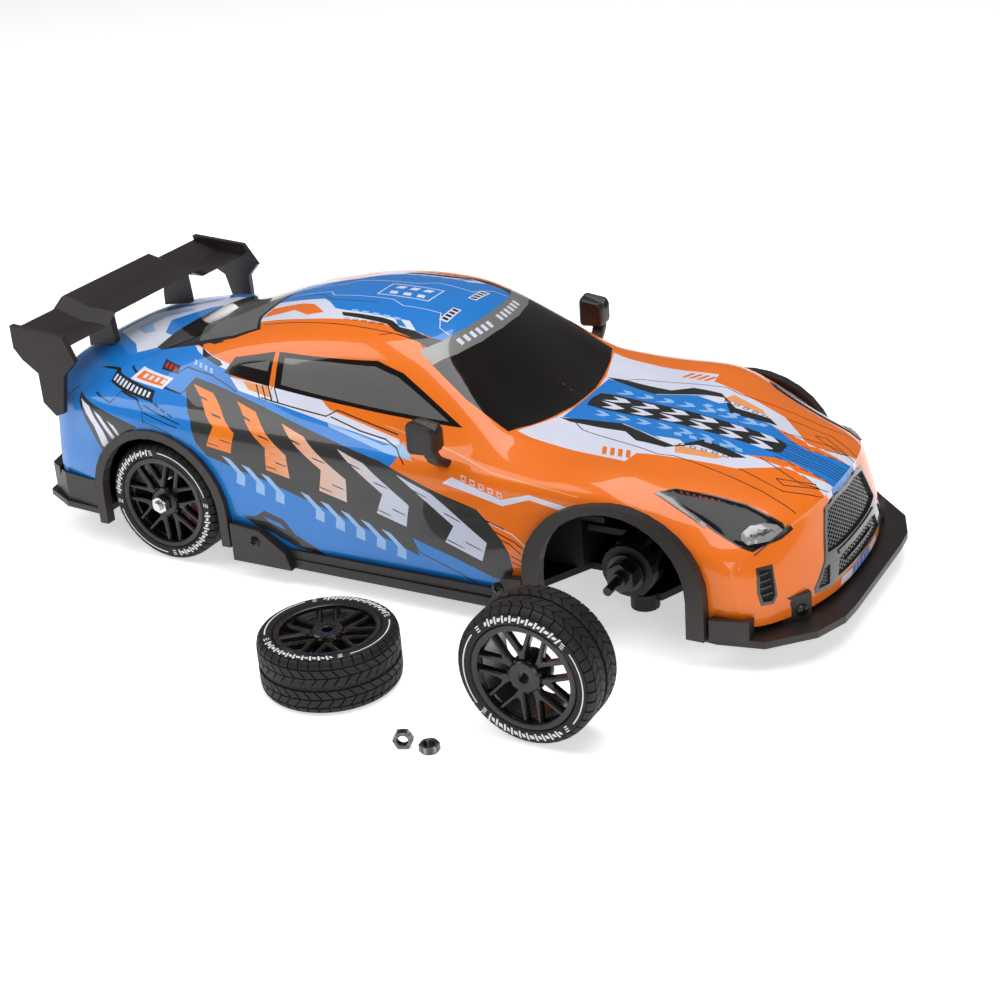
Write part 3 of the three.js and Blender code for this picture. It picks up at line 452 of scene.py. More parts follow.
class End:
    """The nose or the tail: a face over Y and Z, rounded into the edge of the loft."""

    def __init__(self, end):
        self.end = end
        at = np.full_like(RIM_V, end)
        self.edge = section(at, RIM_V)
        self.edge_normal = loft_normal(raw_loft, at, RIM_V)

    def __call__(self, y, z):
        out = np.abs(y)
        far = np.hypot(out[:, None] - self.edge[None, :, 0], z[:, None] - self.edge[None, :, 1])
        nearest = far.argmin(1)
        n_edge = self.edge_normal[nearest] * np.stack([np.ones_like(y), np.where(y > 0, -1, 1),
                                                       np.ones_like(y)], -1)
        x = wrap_x(np.full_like(y, self.end), y, z)
        p = np.stack([x, y, z], -1)
        return p - rounding(far.min(1))[:, None] * (n_edge + end_normal(self.end, y, z))

    def normal(self, y, z):
        outward = np.stack([np.full_like(y, self.end), np.zeros_like(y), np.zeros_like(y)], -1)
        return normals_of(self, y, z, 0.2, 0.2, outward)


NOSE, TAIL = End(FRONT), End(REAR)


def locate(x, value, axis, low, high):
    """Station and line number of a point given by x and its half width (axis 0) or height (axis 1)."""
    station = np.array(x, float)
    value = np.array(value, float)
    for _ in range(9):
        a, b = np.full_like(station, low), np.full_like(station, high)
        for _ in range(20):
            middle = (a + b) / 2
            found = section(station, middle)[:, axis]
            further = found < value if axis == 0 else found > value
            a, b = np.where(further, middle, a), np.where(further, b, middle)
        q = section(station, (a + b) / 2)
        station = np.clip(station + x - wrap_x(station, q[:, 0], q[:, 1]), REAR, FRONT)
    return station, (a + b) / 2


# ---------------------------------------------------------------- the printed livery
def densify(points, step=2.5):
    out = []
    for (ax, ay), (bx, by) in zip(points, points[1:] + points[:1]):
        count = max(1, int(math.hypot(bx - ax, by - ay) / step))
        out += [(ax + (bx - ax) * i / count, ay + (by - ay) * i / count) for i in range(count)]
    return out


def strokes(points, width):
    """A thin line as one slim four-sided shape for each of its straights."""
    shapes = []
    for (ax, ay), (bx, by) in zip(points, points[1:]):
        length = math.hypot(bx - ax, by - ay)
        ux, uy = (bx - ax) / length, (by - ay) / length
        nx, ny = -uy * width / 2, ux * width / 2
        ax, ay, bx, by = ax - ux * width / 2, ay - uy * width / 2, bx + ux * width / 2, by + uy * width / 2
        shapes.append([(ax + nx, ay + ny), (bx + nx, by + ny), (bx - nx, by - ny), (ax - nx, ay - ny)])
    return shapes


class Livery:
    """Shapes in painting order.

    view is side (x, height), plan (x, half width) or face (half width, height).
    """

    def __init__(self):
        self.items = []

    def add(self, view, colour, points, **more):
        self.items.append((view, colour, [tuple(p) for p in points], more))

    def line(self, view, colour, points, width=0.45):
        for shape in strokes(points, width):
            self.add(view, colour, shape)

    def row(self, view, colour, start, step, count, shape):
        for i in range(count):
            ox, oy = start[0] + step[0] * i, start[1] + step[1] * i
            self.add(view, colour, [(ox + a, oy + b) for a, b in shape])


def cell(origin, across, down, pieces):
    """Shapes drawn in a slanted cell: (a, b) runs 0 to 1 along across and 0 to 1 along down."""
    return [[(origin[0] + across[0] * a + down[0] * b, origin[1] + across[1] * a + down[1] * b) for a,
             b in shape]
            for shape in pieces]


body_art = Livery()
nose_art = Livery()

# Side: the blue rear and sill.
body_art.add("side", "blue", [(-160, 90), (-90, 72.5), (-72, 72), (-64, 69.5), (-60, 66.4), (-34, 62),
                              (-17, 59.4),
                              (12, 55.2), (8, 50), (41, 25), (53, 13), (54, 4), (-160, 4)])
# Belt stripes over the band.
body_art.add("side", "white", [(-62, 67.2), (-44, 66.8), (-24, 66.2), (-19, 62.8), (9, 57.4), (10, 55.4),
                               (-18, 59),
                               (-35, 61.4), (-57, 63.8)])
body_art.add("side", "pale_orange", [(-56, 66.8), (-45, 66.6), (-42, 63.4), (-53, 64.6)])
body_art.add("side", "light_blue", [(-19, 59.2), (4, 55.4), (11, 56.4), (16, 52.6), (6, 53.6), (-18, 58)])
for k in range(4):
    body_art.line("side", "ink", [(-50 + 2.6 * k, 66.4), (-47.6 + 2.6 * k, 62.6)], 0.5)
body_art.line("side", "ink", [(-47, 63), (-30, 61.6), (-20, 60.8), (-16, 63), (8, 58.6)], 0.4)
body_art.line("side", "ink", [(-18, 60.8), (-6, 58.2), (4, 57), (9, 55.2), (13, 51.4)], 0.4)
# The rear pillar patch.
body_art.add("side", "white", [(-84, 72.4), (-77, 72.4), (-71, 71.6), (-63.6, 70.8), (-62, 68.6), (-67, 69.4),
                               (-75, 70.8), (-80, 71.4)])
body_art.add("side", "ink", [(-82.6, 73), (-80, 73), (-77, 70.9), (-68, 69.4), (-66.4, 70), (-68, 71),
                             (-75.4, 72)])
body_art.row("side", "light_blue", (-80, 69.6), (2.7, -0.35), 4,
             [(0, 0), (1.5, -0.1), (2.1, -1.4), (0.6, -1.3)])
# Fine circuit lines on the rear quarter.
for path in ([(-117, 64.2), (-111, 65), (-107, 63.9), (-102, 63)], [(-128, 62), (-112, 63), (-109, 62)],
             [(-113, 58.8), (-105, 57.2), (-103, 60), (-95, 58.8), (-91, 56.4), (-90, 52)],
             [(-91, 57.6), (-75, 53.6)], [(-90, 55.6), (-80, 53.2), (-76, 52.4)],
             [(-90, 61.6), (-80, 60.6), (-78, 62)],
             [(-85, 65.2), (-82, 67.2), (-70, 66.6), (-62, 64.6), (-58, 63.4)],
             [(-90, 53), (-80, 50.4), (-77, 47.6)],
             [(-141, 52), (-130, 54), (-124, 58.4)]):
    body_art.line("side", "ink", path, 0.38)
body_art.row("side", "ink", (-90.6, 59.3), (3.3, -0.95), 4, [(0, 0), (2.3, -0.65), (2.3, -1.1), (0, -0.45)])
# Generic stickers: a white framed orange tag, a black tag with red bars, a dark strip with white bars.
body_art.add("side", "white", [(-102, 64.6), (-86, 63.8), (-88.2, 61), (-104, 62)])
body_art.add("side", "orange", [(-100.6, 64), (-87.8, 63.3), (-89.4, 61.6), (-102, 62.4)])
body_art.row("side", "white", (-98.8, 63.6), (2.9, -0.16), 4, [(0, 0), (1.6, -0.08), (0.9, -1),
                                                               (-0.7, -0.92)])
body_art.add("side", "ink", [(-94, 67.4), (-85.4, 67), (-85, 65), (-93.4, 65.2)])
body_art.row("side", "red", (-92.6, 67), (2.3, -0.1), 3, [(0, 0), (1.5, -0.06), (1.4, -1.3), (0.1, -1.2)])
body_art.add("side", "ink", [(-113, 62.9), (-90.6, 60.6), (-88.6, 58.4), (-111, 61)])
body_art.row("side", "white", (-111.2, 62.3), (2.05, -0.22), 10,
             [(0, 0), (1.1, -0.12), (1.7, -1.1), (0.6, -1)])
# The dark wedge behind the rear wheel with its pale blocks.
body_art.add("side", "dark", [(-121.6, 57.8), (-117, 56.8), (-93, 50.6), (-98, 46), (-111, 37.4), (-114, 42)])
for shape in cell((-119.6, 56.2), (6.6, -1.7), (7.2, -16), [[(0, 0), (0.72, 0.02), (1.0, 0.5), (0.86, 0.98),
                  (0.2, 0.98), (0.4, 0.5)], [(1.04, 0.06), (1.42, 0.1), (1.9, 0.66), (1.5, 0.7)],
                  [(1.86, 0.14), (2.2, 0.2), (2.42, 0.46), (2.1, 0.46)]]):
    body_art.add("side", "white", shape)

# The band: dark backing with five slanted chevrons that fade from orange to white.
body_art.add("side", "dark", [(-79.4, 61.8), (-76.6, 65.2), (-67, 64.2), (-48, 61.2), (-29, 57.4), (4, 51.2),
                              (26, 43.8), (39.4, 40.4), (43.4, 36.4), (47.4, 31.4), (50.2, 26.6), (51, 20),
                              (48.6, 15.4), (40, 16.4), (27, 14.2), (9, 21.6), (-17, 30.2), (-40, 37.2),
                              (-52, 40), (-64.6, 43.6), (-68.4, 48), (-71, 55.4)])
BAND_CELLS = [((-76.6, 63.4), (18.0, -2.3), (12.0, -16.2)), ((-56.6, 60.9), (17.0, -3.0), (15.4, -19.4)),
              ((-36.2, 57.2), (19.6, -4.2), (15.4, -20.2)), ((-12.6, 52.8), (20.4, -5.4), (13.6, -20.4)),
              ((10.4, 47.8), (24.6, -8.4), (15.6, -21.6))]
CHEVRON = [(0.0, 0.0), (0.5, 0.02), (0.98, 0.5), (0.56, 1.0), (0.04, 0.98), (0.5, 0.5)]
for origin, across, down in BAND_CELLS:
    for shape in cell(origin, across, down, [CHEVRON]):
        body_art.add("side", "fade", shape)
    for a, b in ((0.22, 0.14), (0.6, 0.3), (0.62, 0.72), (0.24, 0.88)):
        notch = [[(a - 0.12, b), (a + 0.1, b + 0.01), (a + 0.14, b + 0.035), (a - 0.1, b + 0.03)]]
        body_art.add("side", "dark", cell(origin, across, down, notch)[0])

# A second row of small pale chevrons under the band.
SMALL_CHEVRON = [(0, 0), (0.5, 0), (1.0, 0.5), (0.56, 1), (0.04, 1), (0.5, 0.5)]
for k in range(9):
    if k == 3:
        continue
    shift = k * 7.6
    origin = (-58.4 + shift, 44.6 - shift * 0.293)
    for shape in cell(origin, (6.4, -1.87), (4.4, -9.4), [SMALL_CHEVRON]):
        body_art.add("side", "light_blue", shape)
# The blue blade at the front of the sill, and the dark bracket with a blue slot at the rear.
body_art.add("side", "blue", [(14, 25.4), (30, 20.6), (47, 14.6), (40, 12.6), (17, 14.8)])
body_art.line("side", "ink", [(14, 25), (16, 20.4), (30, 15.4), (36, 12.6)], 0.45)
body_art.add("side", "dark", [(-53, 22.6), (-48, 23.2), (-44, 26), (-36.6, 23.6), (-33, 18.4),
                              (-26, 14.6), (-20, 11),
                              (-34, 13.6), (-42, 17.4), (-49, 19.6)])
body_art.add("side", "blue", [(-44.6, 23.6), (-38, 21.6), (-36.6, 19.6), (-43, 21.8)])
# Front door and fender marks on orange.
body_art.add("side", "white", [(27.6, 47.6), (31, 50), (49, 45.4), (59, 48.6), (73, 46.8), (71, 45.2),
                               (59, 47),
                               (49.4, 43.2), (35, 46.2)])
for k in range(5):
    ox, oz = 34.4 + 3.3 * k, 50.9 - 0.8 * k
    body_art.line("side", "white", [(ox, oz), (ox + 1.5, oz - 0.35), (ox + 1.7, oz - 1.7),
                                    (ox + 0.2, oz - 1.4), (ox, oz)],
                  0.28)
for path in ([(41, 37.4), (49, 35)], [(46, 33.4), (52.6, 31), (56, 28.6)], [(47, 31), (50.6, 30), (54.4, 27)],
             [(51, 25.6), (55, 24)], [(51, 23.4), (55, 22)]):
    body_art.line("side", "ink", path, 0.45)
body_art.line("side", "white", [(44, 36.2), (52, 33.6), (56.6, 30)], 0.3)
body_art.line("side", "pale_orange", [(3, 60.6), (26, 56.6), (44, 52.8), (57, 51.8), (76, 50.6)], 0.35)

# Side windows, each with a dark surround.
body_art.add("side", "glass", [(-42.4, 66.6), (-42.8, 77.2), (-4, 78.6), (5.6, 75.6), (29.6, 62)])
body_art.add("side", "side_glass", [(-39.8, 67.8), (-40, 75.8), (-22, 76.8), (-4.4, 77), (4, 74.6),
                                    (24.6, 63.4)])
body_art.add("side", "glass", [(-65, 68), (-61.6, 73), (-44.6, 77), (-44.6, 66.6), (-50, 67)])
body_art.add("side", "side_glass", [(-58.6, 71.2), (-46, 74.2), (-46.2, 71)])
body_art.line("side", "deep_orange", [(-43.6, 79.4), (-43.4, 66)], 0.5)

# Plan: rear deck, rear window, roof, windscreen and hood, right half.
body_art.add("plan", "blue", [(-150, 0), (-150, 40), (-110, 40), (-86, 33), (-66, 29), (-60, 20), (-60, 0)])
body_art.add("plan", "white", [(-136, 0), (-136, 10), (-118, 24), (-112, 31), (-100, 26), (-98, 22),
                               (-112, 14),
                               (-120, 0)])
body_art.add("plan", "light_blue", [(-131, 0), (-130, 8), (-122, 14), (-118, 12), (-126, 4), (-126, 0)])
body_art.add("plan", "ink", [(-86, 30), (-81, 31.4), (-74, 34.4), (-70, 34), (-76, 30), (-82, 27.6)])
# Roof.
body_art.add("plan", "white", [(-63, 0), (-63, 12.5), (-62, 24.6), (-40, 26), (-10, 24.8), (-7, 26),
                               (6, 26), (0, 16),
                               (-30, 10), (-40, 0)])
body_art.add("plan", "orange", [(-62, 14.5), (-50, 13.6), (-44, 15), (-36, 21.4), (-42, 23), (-50, 18.6),
                                (-62, 21.6)])
body_art.add("plan", "blue", [(-63, 0), (-63, 9.4), (-42, 11), (-38, 14), (-33, 18.6), (-28, 19.6),
                              (-8, 20.6),
                              (-5, 24.2), (8, 24.8), (12, 24), (15, 12), (16, 0)])
body_art.add("plan", "ink", [(-29, 20.8), (-12, 21.6), (-8, 22.4), (-3.6, 25), (2, 24.6), (7, 25.2),
                             (13, 23.4),
                             (11, 27), (8.6, 29.6), (5, 28.4), (-4, 27.6), (-9, 24.8), (-27, 23.2)])
body_art.add("plan", "white", [(-6, 20.6), (-2.6, 20.4), (2, 24.4), (-1.4, 24.4)])
body_art.row("plan", "light_blue", (-26, 18.6), (4.3, 0.3), 5, [(0, 0), (2.6, 0.1), (2.8, 1.5), (0.2, 1.4)])
for k in range(5):
    ox, oy = -25 + 3.4 * k, 24.6 + 0.12 * k
    body_art.line("plan", "ink", [(ox, oy), (ox + 1.4, oy), (ox + 1.4, oy + 0.9), (ox, oy + 0.9),
                                  (ox, oy)], 0.25)
body_art.line("plan", "white", [(-24, 0), (-24, 5.4), (-4, 5.4), (-4, 0)], 0.5)
body_art.row("plan", "white", (-21, 1.4), (5.4, 0), 3, [(0, 0), (3, 0), (3.6, 2.4), (0.6, 2.4)])
body_art.add("plan", "white", [(5.4, 5), (5.4, 15), (8.6, 15), (8.6, 5)])
body_art.row("plan", "ink", (5.9, 5.6), (0, 2.3), 4, [(0, 0), (2.2, 0.3), (2.2, 1.7), (0, 1.4)])
body_art.line("plan", "white", [(-60, 4), (-44, 4), (-40, 8), (-16, 8.4), (-10, 12), (4, 11), (8, 19),
                                (12, 20)], 0.3)
body_art.line("plan", "ink", [(-58, 6), (-46, 6.4), (-38, 12), (-20, 12.4)], 0.3)
body_art.line("plan", "ink", [(-57, 27.6), (-30, 28.6), (-9, 29), (6, 28.6), (8, 30)], 0.4)
body_art.line("plan", "ink", [(-8, 31), (-4, 28.8), (5, 28.2)], 0.35)
# Glass and the grey banner across its top.
body_art.add("plan", "glass", [(-62.6, 0), (-62.6, 20), (-60.6, 24.4), (-56.6, 30.4), (-66, 33.4),
                               (-80, 33), (-101, 30.6),
                               (-105, 28), (-107, 14), (-107.4, 0)])
body_art.add("plan", "side_glass", [(-64.4, 0), (-64.4, 20), (-61.6, 25), (-59, 29.4), (-67, 31.6), (-84, 30),
                                    (-92, 16), (-94, 0)])
body_art.add("plan", "glass", [(17, 0), (16.2, 12), (13, 24.6), (7.6, 32), (14, 34.4), (27, 38), (42.6, 39),
                               (46, 30), (49, 18), (50.8, 8), (51, 0)])
body_art.add("plan", "banner", [(15.4, 0), (14.6, 12), (11.6, 24), (7.4, 32.2), (13.4, 34), (17.6, 25),
                                (20.4, 13),
                                (21.2, 0)])
for k in range(6):
    half = 2.6 + 3.2 * k
    lean = 17.1 - 0.0068 * half**2
    body_art.add("plan", "white", [(lean, half), (lean + 2.3, half + 0.2), (lean + 2.2, half + 2),
                                   (lean - 0.1, half + 1.8)])
# Hood.
body_art.add("plan", "white", [(44.4, 36.4), (49.6, 19), (51.6, 8), (60, 17), (72, 13), (92, 16),
                               (112, 12), (141, 8),
                               (150, 11), (150, 16), (141, 15), (126, 8.6), (120, 15), (113, 21.6),
                               (92, 29), (84, 31.6),
                               (83, 38.4), (70, 37.4)])
body_art.add("plan", "pale_orange", [(92, 20), (108, 17.6), (106, 20.6), (94, 25)])
body_art.add("plan", "blue", [(51.6, 0), (51.2, 17.6), (60, 16.4), (71, 13.2), (86, 19), (92, 18.4),
                              (104, 13),
                              (112, 12.6), (120, 7.6), (126, 5.6), (150, 10), (150, 0)])
body_art.add("plan", "ink", [(50.2, 18.4), (60, 15.4), (70, 13.2), (76, 15.4), (86, 19.6), (92, 21),
                             (98, 11.4),
                             (106, 12.2), (113.6, 13.6), (110, 16.6), (98, 16), (90, 23.6), (80, 23.4),
                             (74, 18.4),
                             (55, 19.6)])
body_art.add("plan", "white", [(84, 17.6), (92, 16), (95, 18.6), (89, 20)])
body_art.row("plan", "orange", (72, 31), (2.7, -0.1), 4, [(0, 0), (1.6, 0.2), (3.6, 5.2), (2, 5)])
body_art.row("plan", "light_blue", (88, 11.6), (5, -0.5), 5, [(0, 0), (2.4, -0.2), (3.4, 1.8), (1, 2)])
for k in range(5):
    ox, oy = 93 + 3.5 * k, 18.4 - 0.5 * k
    body_art.line("plan", "ink", [(ox, oy), (ox + 1.6, oy - 0.2), (ox + 1.8, oy + 1),
                                  (ox + 0.2, oy + 1.2), (ox, oy)], 0.32)
for path in ([(57, 19.6), (61, 23), (90, 29), (95, 27), (124, 27), (136, 29)],
             [(114, 21), (129, 22.4), (143, 15)], [(125, 17.6), (128, 19.4), (138, 13.4), (131, 10.4)],
             [(117, 10.4), (132, 15), (142, 12)], [(125, 17.6), (136, 12)]):
    body_art.line("plan", "ink", path, 0.42)
for k in range(3):
    body_art.line("plan", "ink", [(119, 1 + 1.5 * k), (147, 0.8 + 1.6 * k)], 0.4)
body_art.row("plan", "ink", (120, 6), (4.4, 0.34), 6, [(0, 0), (2.8, 0.22), (2.8, 0.62), (0, 0.4)])
# Pale chevrons along the hood: a dark backed row at the centre and a plain row beside it.
body_art.add("plan", "ink", [(53, 0), (54, 5.4), (60, 6.2), (118, 4.6), (121, 3), (121, 0)])
for k in range(6):
    for shape in cell((57 + 10.4 * k, 0.5), (8.6, 0), (1.6, 4.2), [SMALL_CHEVRON]):
        body_art.add("plan", "white", shape)
for k in range(7):
    for shape in cell((58 + 7.4 * k, 7.6 + 0.1 * (k % 2)), (5.8, 0), (1.2, 3.6), [SMALL_CHEVRON]):
        body_art.add("plan", "light_blue", shape)
# The lamp: a black swept wedge with a grey rear edge and red bars.
body_art.add("plan", "ink", [(97.4, 47.6), (102, 42.6), (112, 38), (122, 35), (134, 34.6), (139, 37),
                             (130, 47.6),
                             (125, 48.4), (112, 47.8), (104, 47.4)])
body_art.add("plan", "lens_grey", [(97.6, 47.4), (102.4, 43.4), (104, 44.6), (106, 46), (114, 47.8),
                                   (104, 48)])
body_art.row("plan", "red", (103.6, 42.6), (1.9, -0.72), 6, [(0, 0), (1.05, -0.4), (1.9, 1.5), (0.9, 1.9)])

# Nose face: half width and height.
GRILLE_FRAME = [(-1, 40.6), (9, 41.2), (17.4, 39.6), (20.6, 33), (24.4, 25), (31.4, 18.6), (31.4, 16.6),
                (24, 15.8),
                (16, 17), (-1, 16)]
nose_art.add("face", "blue", [(-1, 50), (-1, 40), (10.4, 41), (10.8, 50)])
nose_art.add("face", "white", [(10.4, 50), (10.2, 41), (13.4, 41), (15, 50)])
nose_art.add("face", "bezel", GRILLE_FRAME, depth=-0.45)
# The sunk grille openings are painted shade: near-black sheets in place of the dark hollow behind the wires.
nose_art.add("face", "void", [(-1, 38.8), (8, 39.4), (16, 38.2), (19, 33), (22, 26.6), (14, 26),
                              (-1, 25.8)], depth=1.7)
nose_art.add("face", "void", [(-1, 23.2), (12, 23.4), (17, 22.6), (19.4, 17.8), (-1, 17.4)], depth=1.0)
nose_art.add("face", "void", [(22.4, 23.2), (25.6, 22.8), (30.2, 18), (24.4, 17.4)], depth=0.7)
nose_art.add("face", "white", [(8.4, 15.4), (16, 16), (17.4, 13.4), (9, 13)])
nose_art.add("face", "blue", [(-1, 15.4), (8, 15.4), (8.6, 13), (-1, 13)])
for k in range(3):
    nose_art.add("face", "light_blue", [(1 + 3 * k, 15.2), (2.4 + 3 * k, 15.2), (2.8 + 3 * k, 13.1),
                                        (1.4 + 3 * k, 13.1)])
nose_art.add("face", "bezel", [(43.4, 31.2), (48.4, 31.6), (50.2, 24), (50, 19.8), (46.2, 19.2),
                               (44.6, 21.4)], depth=-0.3)
# The side vent opening is painted shade as well: a near-black sheet behind the slats.
nose_art.add("face", "void", [(44.2, 30.2), (47.8, 30.6), (49.4, 24), (49.2, 20.8), (46.6, 20.4),
                              (45.4, 21.8)], depth=0.9)
nose_art.add("face", "ink", [(34, 42), (47, 37), (48, 38.6), (46, 37.4), (38, 37.6), (33, 39)])

BELOW_SHELL = 2.0
ARCHES = []
for centre in (-AXLE_X, AXLE_X):
    ring = [(centre + ARCH_HOLE * math.cos(math.pi * k / 24), AXLE_Z + ARCH_HOLE * math.sin(math.pi * k / 24))
            for k in range(25)]
    ARCHES.append(ring + [(centre - ARCH_HOLE, BELOW_SHELL), (centre + ARCH_HOLE, BELOW_SHELL)])


def to_sheet(view, points):
    """Livery points on the flattened half shell: station along, distance round."""
    a = np.array([p[0] for p in points], float)
    b = np.array([p[1] for p in points], float)
    if view == "side":
        station, v = locate(a, b, 1, 1.9, 7.0)
        v = np.where(b <= BELOW_SHELL, 7.0, v)
    else:
        station, v = locate(a, b, 0, 0.0, 3.9)
    return np.stack([station, np.interp(v, np.arange(8), GIRTH)], -1)


def inside(points, ring):
    """Which points lie inside a ring."""
    ring = np.asarray(ring, float)
    ends = np.roll(ring, -1, axis=0)
    odd = np.zeros(len(points), bool)
    near = np.nonzero(((points >= ring.min(0)) & (points <= ring.max(0))).all(1))[0]
    x, y = points[near, 0][:, None], points[near, 1][:, None]
    crosses = (ring[None, :, 1] > y) != (ends[None, :, 1] > y)
    rise = np.where(np.abs(ends[:, 1] - ring[:, 1]) < 1e-9, 1e-9, ends[:, 1] - ring[:, 1])
    meets = ring[None, :, 0] + (y - ring[None, :, 1]) * ((ends[:, 0] - ring[:, 0]) / rise)[None, :]
    odd[near] = (crosses & (x < meets)).sum(1) % 2 == 1
    return odd


def shrink(ring, distance):
    """A ring moved inward by a distance, or outward if it is negative."""
    ring = np.asarray(ring, float)
    before, after = np.roll(ring, 1, axis=0), np.roll(ring, -1, axis=0)
    area = (ring[:, 0] * after[:, 1] - after[:, 0] * ring[:, 1]).sum()
    first, second = unit(ring - before), unit(after - ring)
    left = unit(np.stack([-(first + second)[:, 1], (first + second)[:, 0]], -1))
    bend = np.clip(np.abs((left * np.stack([-first[:, 1], first[:, 0]], -1)).sum(-1)), 0.45, 1)
    return ring + left * (distance * np.sign(area) / bend)[:, None]


def cut_sheet(border, lattice, items, flatten, holes=()):
    """Triangles of the sheet, each with the last shape painted over it. Nothing is kept inside a hole."""
    jobs = [(view, densify(points), colour, more.get("depth", 0.0)) for view, colour, points, more in items]
    jobs += [("side", densify(ring), None, 0.0) for ring in holes]
    flat = [None] * len(jobs)
    for view in sorted({job[0] for job in jobs}):
        members = [k for k, job in enumerate(jobs) if job[0] == view]
        together = np.asarray(flatten(view, [point for k in members for point in jobs[k][1]]))
        start = 0
        for k in members:
            flat[k] = together[start:start + len(jobs[k][1])]
            start += len(jobs[k][1])
    rings = [(np.asarray(border, float), "base", 0.0)]
    rings += [(ring, job[2], job[3]) for ring, job in zip(flat, jobs)]
    rings += [(shrink(ring, 0.4), "same", job[3]) for ring, job in zip(flat, jobs) if job[3]]
    coords, edges = [], []
    for ring, _, _ in rings:
        start, count = len(coords), len(ring)
        coords.extend(Vector((float(p[0]), float(p[1]))) for p in ring)
        edges.extend((start + k, start + (k + 1) % count) for k in range(count))
    coords.extend(Vector((float(p[0]), float(p[1]))) for p in lattice)
    verts, _, triangles, _, _, _ = delaunay_2d_cdt(coords, edges, [], 0, 1e-4)
    sheet = np.array([tuple(v) for v in verts])
    triangles = np.array([list(t) for t in triangles])
    middles = sheet[triangles].mean(1)
    colours = np.full(len(triangles), "", dtype=object)
    depths = np.zeros(len(sheet))
    for k, (ring, colour, depth) in enumerate(rings):
        if colour == "same":
            depths[inside(sheet, shrink(ring, -0.02))] = depth
            continue
        hit = inside(middles, ring) & ((colours != "") | (k == 0))
        colours[hit] = colour or ""
    keep = colours != ""
    return sheet, triangles[keep].tolist(), list(colours[keep]), depths


def lattice_points(low, high, step):
    points = []
    row = 0
    y = low[1] + step * 0.5
    while y < high[1]:
        x = low[0] + step * (0.5 if row % 2 else 1.0)
        while x < high[0]:
            points.append((x, y))
            x += step
        y += step * 0.866
        row += 1
    return points


def shell_half():
    """Points, normals, faces and colours of the right half of the outer skin."""
    def rectangle():
        along = np.linspace(REAR, FRONT, 99)
        round_ = np.linspace(GIRTH[0], GIRTH[-1], 37)
        return ([(x, GIRTH[0]) for x in along] + [(FRONT, w) for w in round_[1:]]
                + [(x, GIRTH[-1]) for x in along[::-1][1:]] + [(REAR, w) for w in round_[::-1][1:-1]])
    sheet, faces, colours, _ = cut_sheet(rectangle(), lattice_points((REAR, 0), (FRONT, GIRTH[-1]), 3.0),
                                         body_art.items, to_sheet, ARCHES)
    x, v = sheet[:, 0], np.interp(sheet[:, 1], GIRTH, np.arange(8))
    points = loft(x, v)
    normal = loft_normal(loft, x, v)
    normal[v < 0.02, 1] = 0
    base = [c if c != "base" else "orange" for c in colours]
    return points, unit(normal), faces, base, np.zeros(len(faces))


def end_half(end, art, base_colour):
    edge = end.edge[::4]
    outline = [(-y, z) for y, z in edge] + [(-y, edge[-1][1]) for y in np.linspace(edge[-1][0], 0, 18)[1:]]
    outline += [(0.0, z) for z in np.linspace(edge[-1][1], edge[0][1], 12)[1:-1]]

    def flatten(_view, points):
        return [(-p[0], p[1]) for p in points]
    lattice = lattice_points((-58, 10), (0, 66), 2.4)
    sheet, faces, colours, depths = cut_sheet(outline, lattice, art.items, flatten)
    y, z = sheet[:, 0], sheet[:, 1]
    points = end(y, z)
    normal = end.normal(y, z)
    points = points - normal * depths[:, None]
    base = [c if c != "base" else base_colour for c in colours]
    return points, unit(normal), faces, base, depths


def build_shell():
    halves = [shell_half(), end_half(NOSE, nose_art, "orange"), end_half(TAIL, Livery(), "blue")]
    slots = ["bezel", "orange", "deep_orange", "pale_orange", "blue", "light_blue", "white", "ink",
             "dark", "glass", "side_glass",
             "banner", "red", "lens_grey", "fade", "void", "inside"]
    points, normals, faces, colour_of = [], [], [], []
    for half_points, half_normals, half_faces, colours, _ in halves:
        for side in (1, -1):
            start = len(points)
            flip = np.array([1, side, 1])
            points.extend(half_points * flip)
            normals.extend(half_normals * flip)
            for face, colour in zip(half_faces, colours):
                a, b, c = (half_points[i] * flip for i in face[:3])
                outward = np.dot(np.cross(b - a, c - a), half_normals[face[0]] * flip) > 0
                order = face if outward else face[::-1]
                faces.append([start + i for i in order])
                colour_of.append(slots.index(colour))
    outer = len(points)
    points = np.array(points)
    normals = np.array(normals)
    inner_points = points - normals * WALL
    all_faces = faces + [[outer + i for i in face[::-1]] for face in faces]
    kinds = colour_of + [slots.index("inside")] * len(faces)
    both = np.concatenate([points, inner_points])
    both_normals = np.concatenate([normals, -normals])
    obj = make_object("shell_printed", both, all_faces, slots, slot_name="paint")
    for polygon, kind in zip(obj.data.polygons, kinds):
        polygon.material_index = kind
    obj.data.normals_split_custom_set_from_vertices([tuple(n) for n in both_normals])
    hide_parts("body_shell")
    return obj


build_shell()


# ---------------------------------------------------------------- raised pieces on the shell
def edge_distance(points, ring):
    """How far each point is from a ring's edge."""
    best = np.full(len(points), 1e9)
    for a, b in zip(ring, np.roll(ring, -1, axis=0)):
        run = b - a
        t = np.clip(((points - a) @ run) / max(run @ run, 1e-12), 0, 1)
        best = np.minimum(best, np.linalg.norm(points - a - t[:, None] * run, axis=1))
    return best


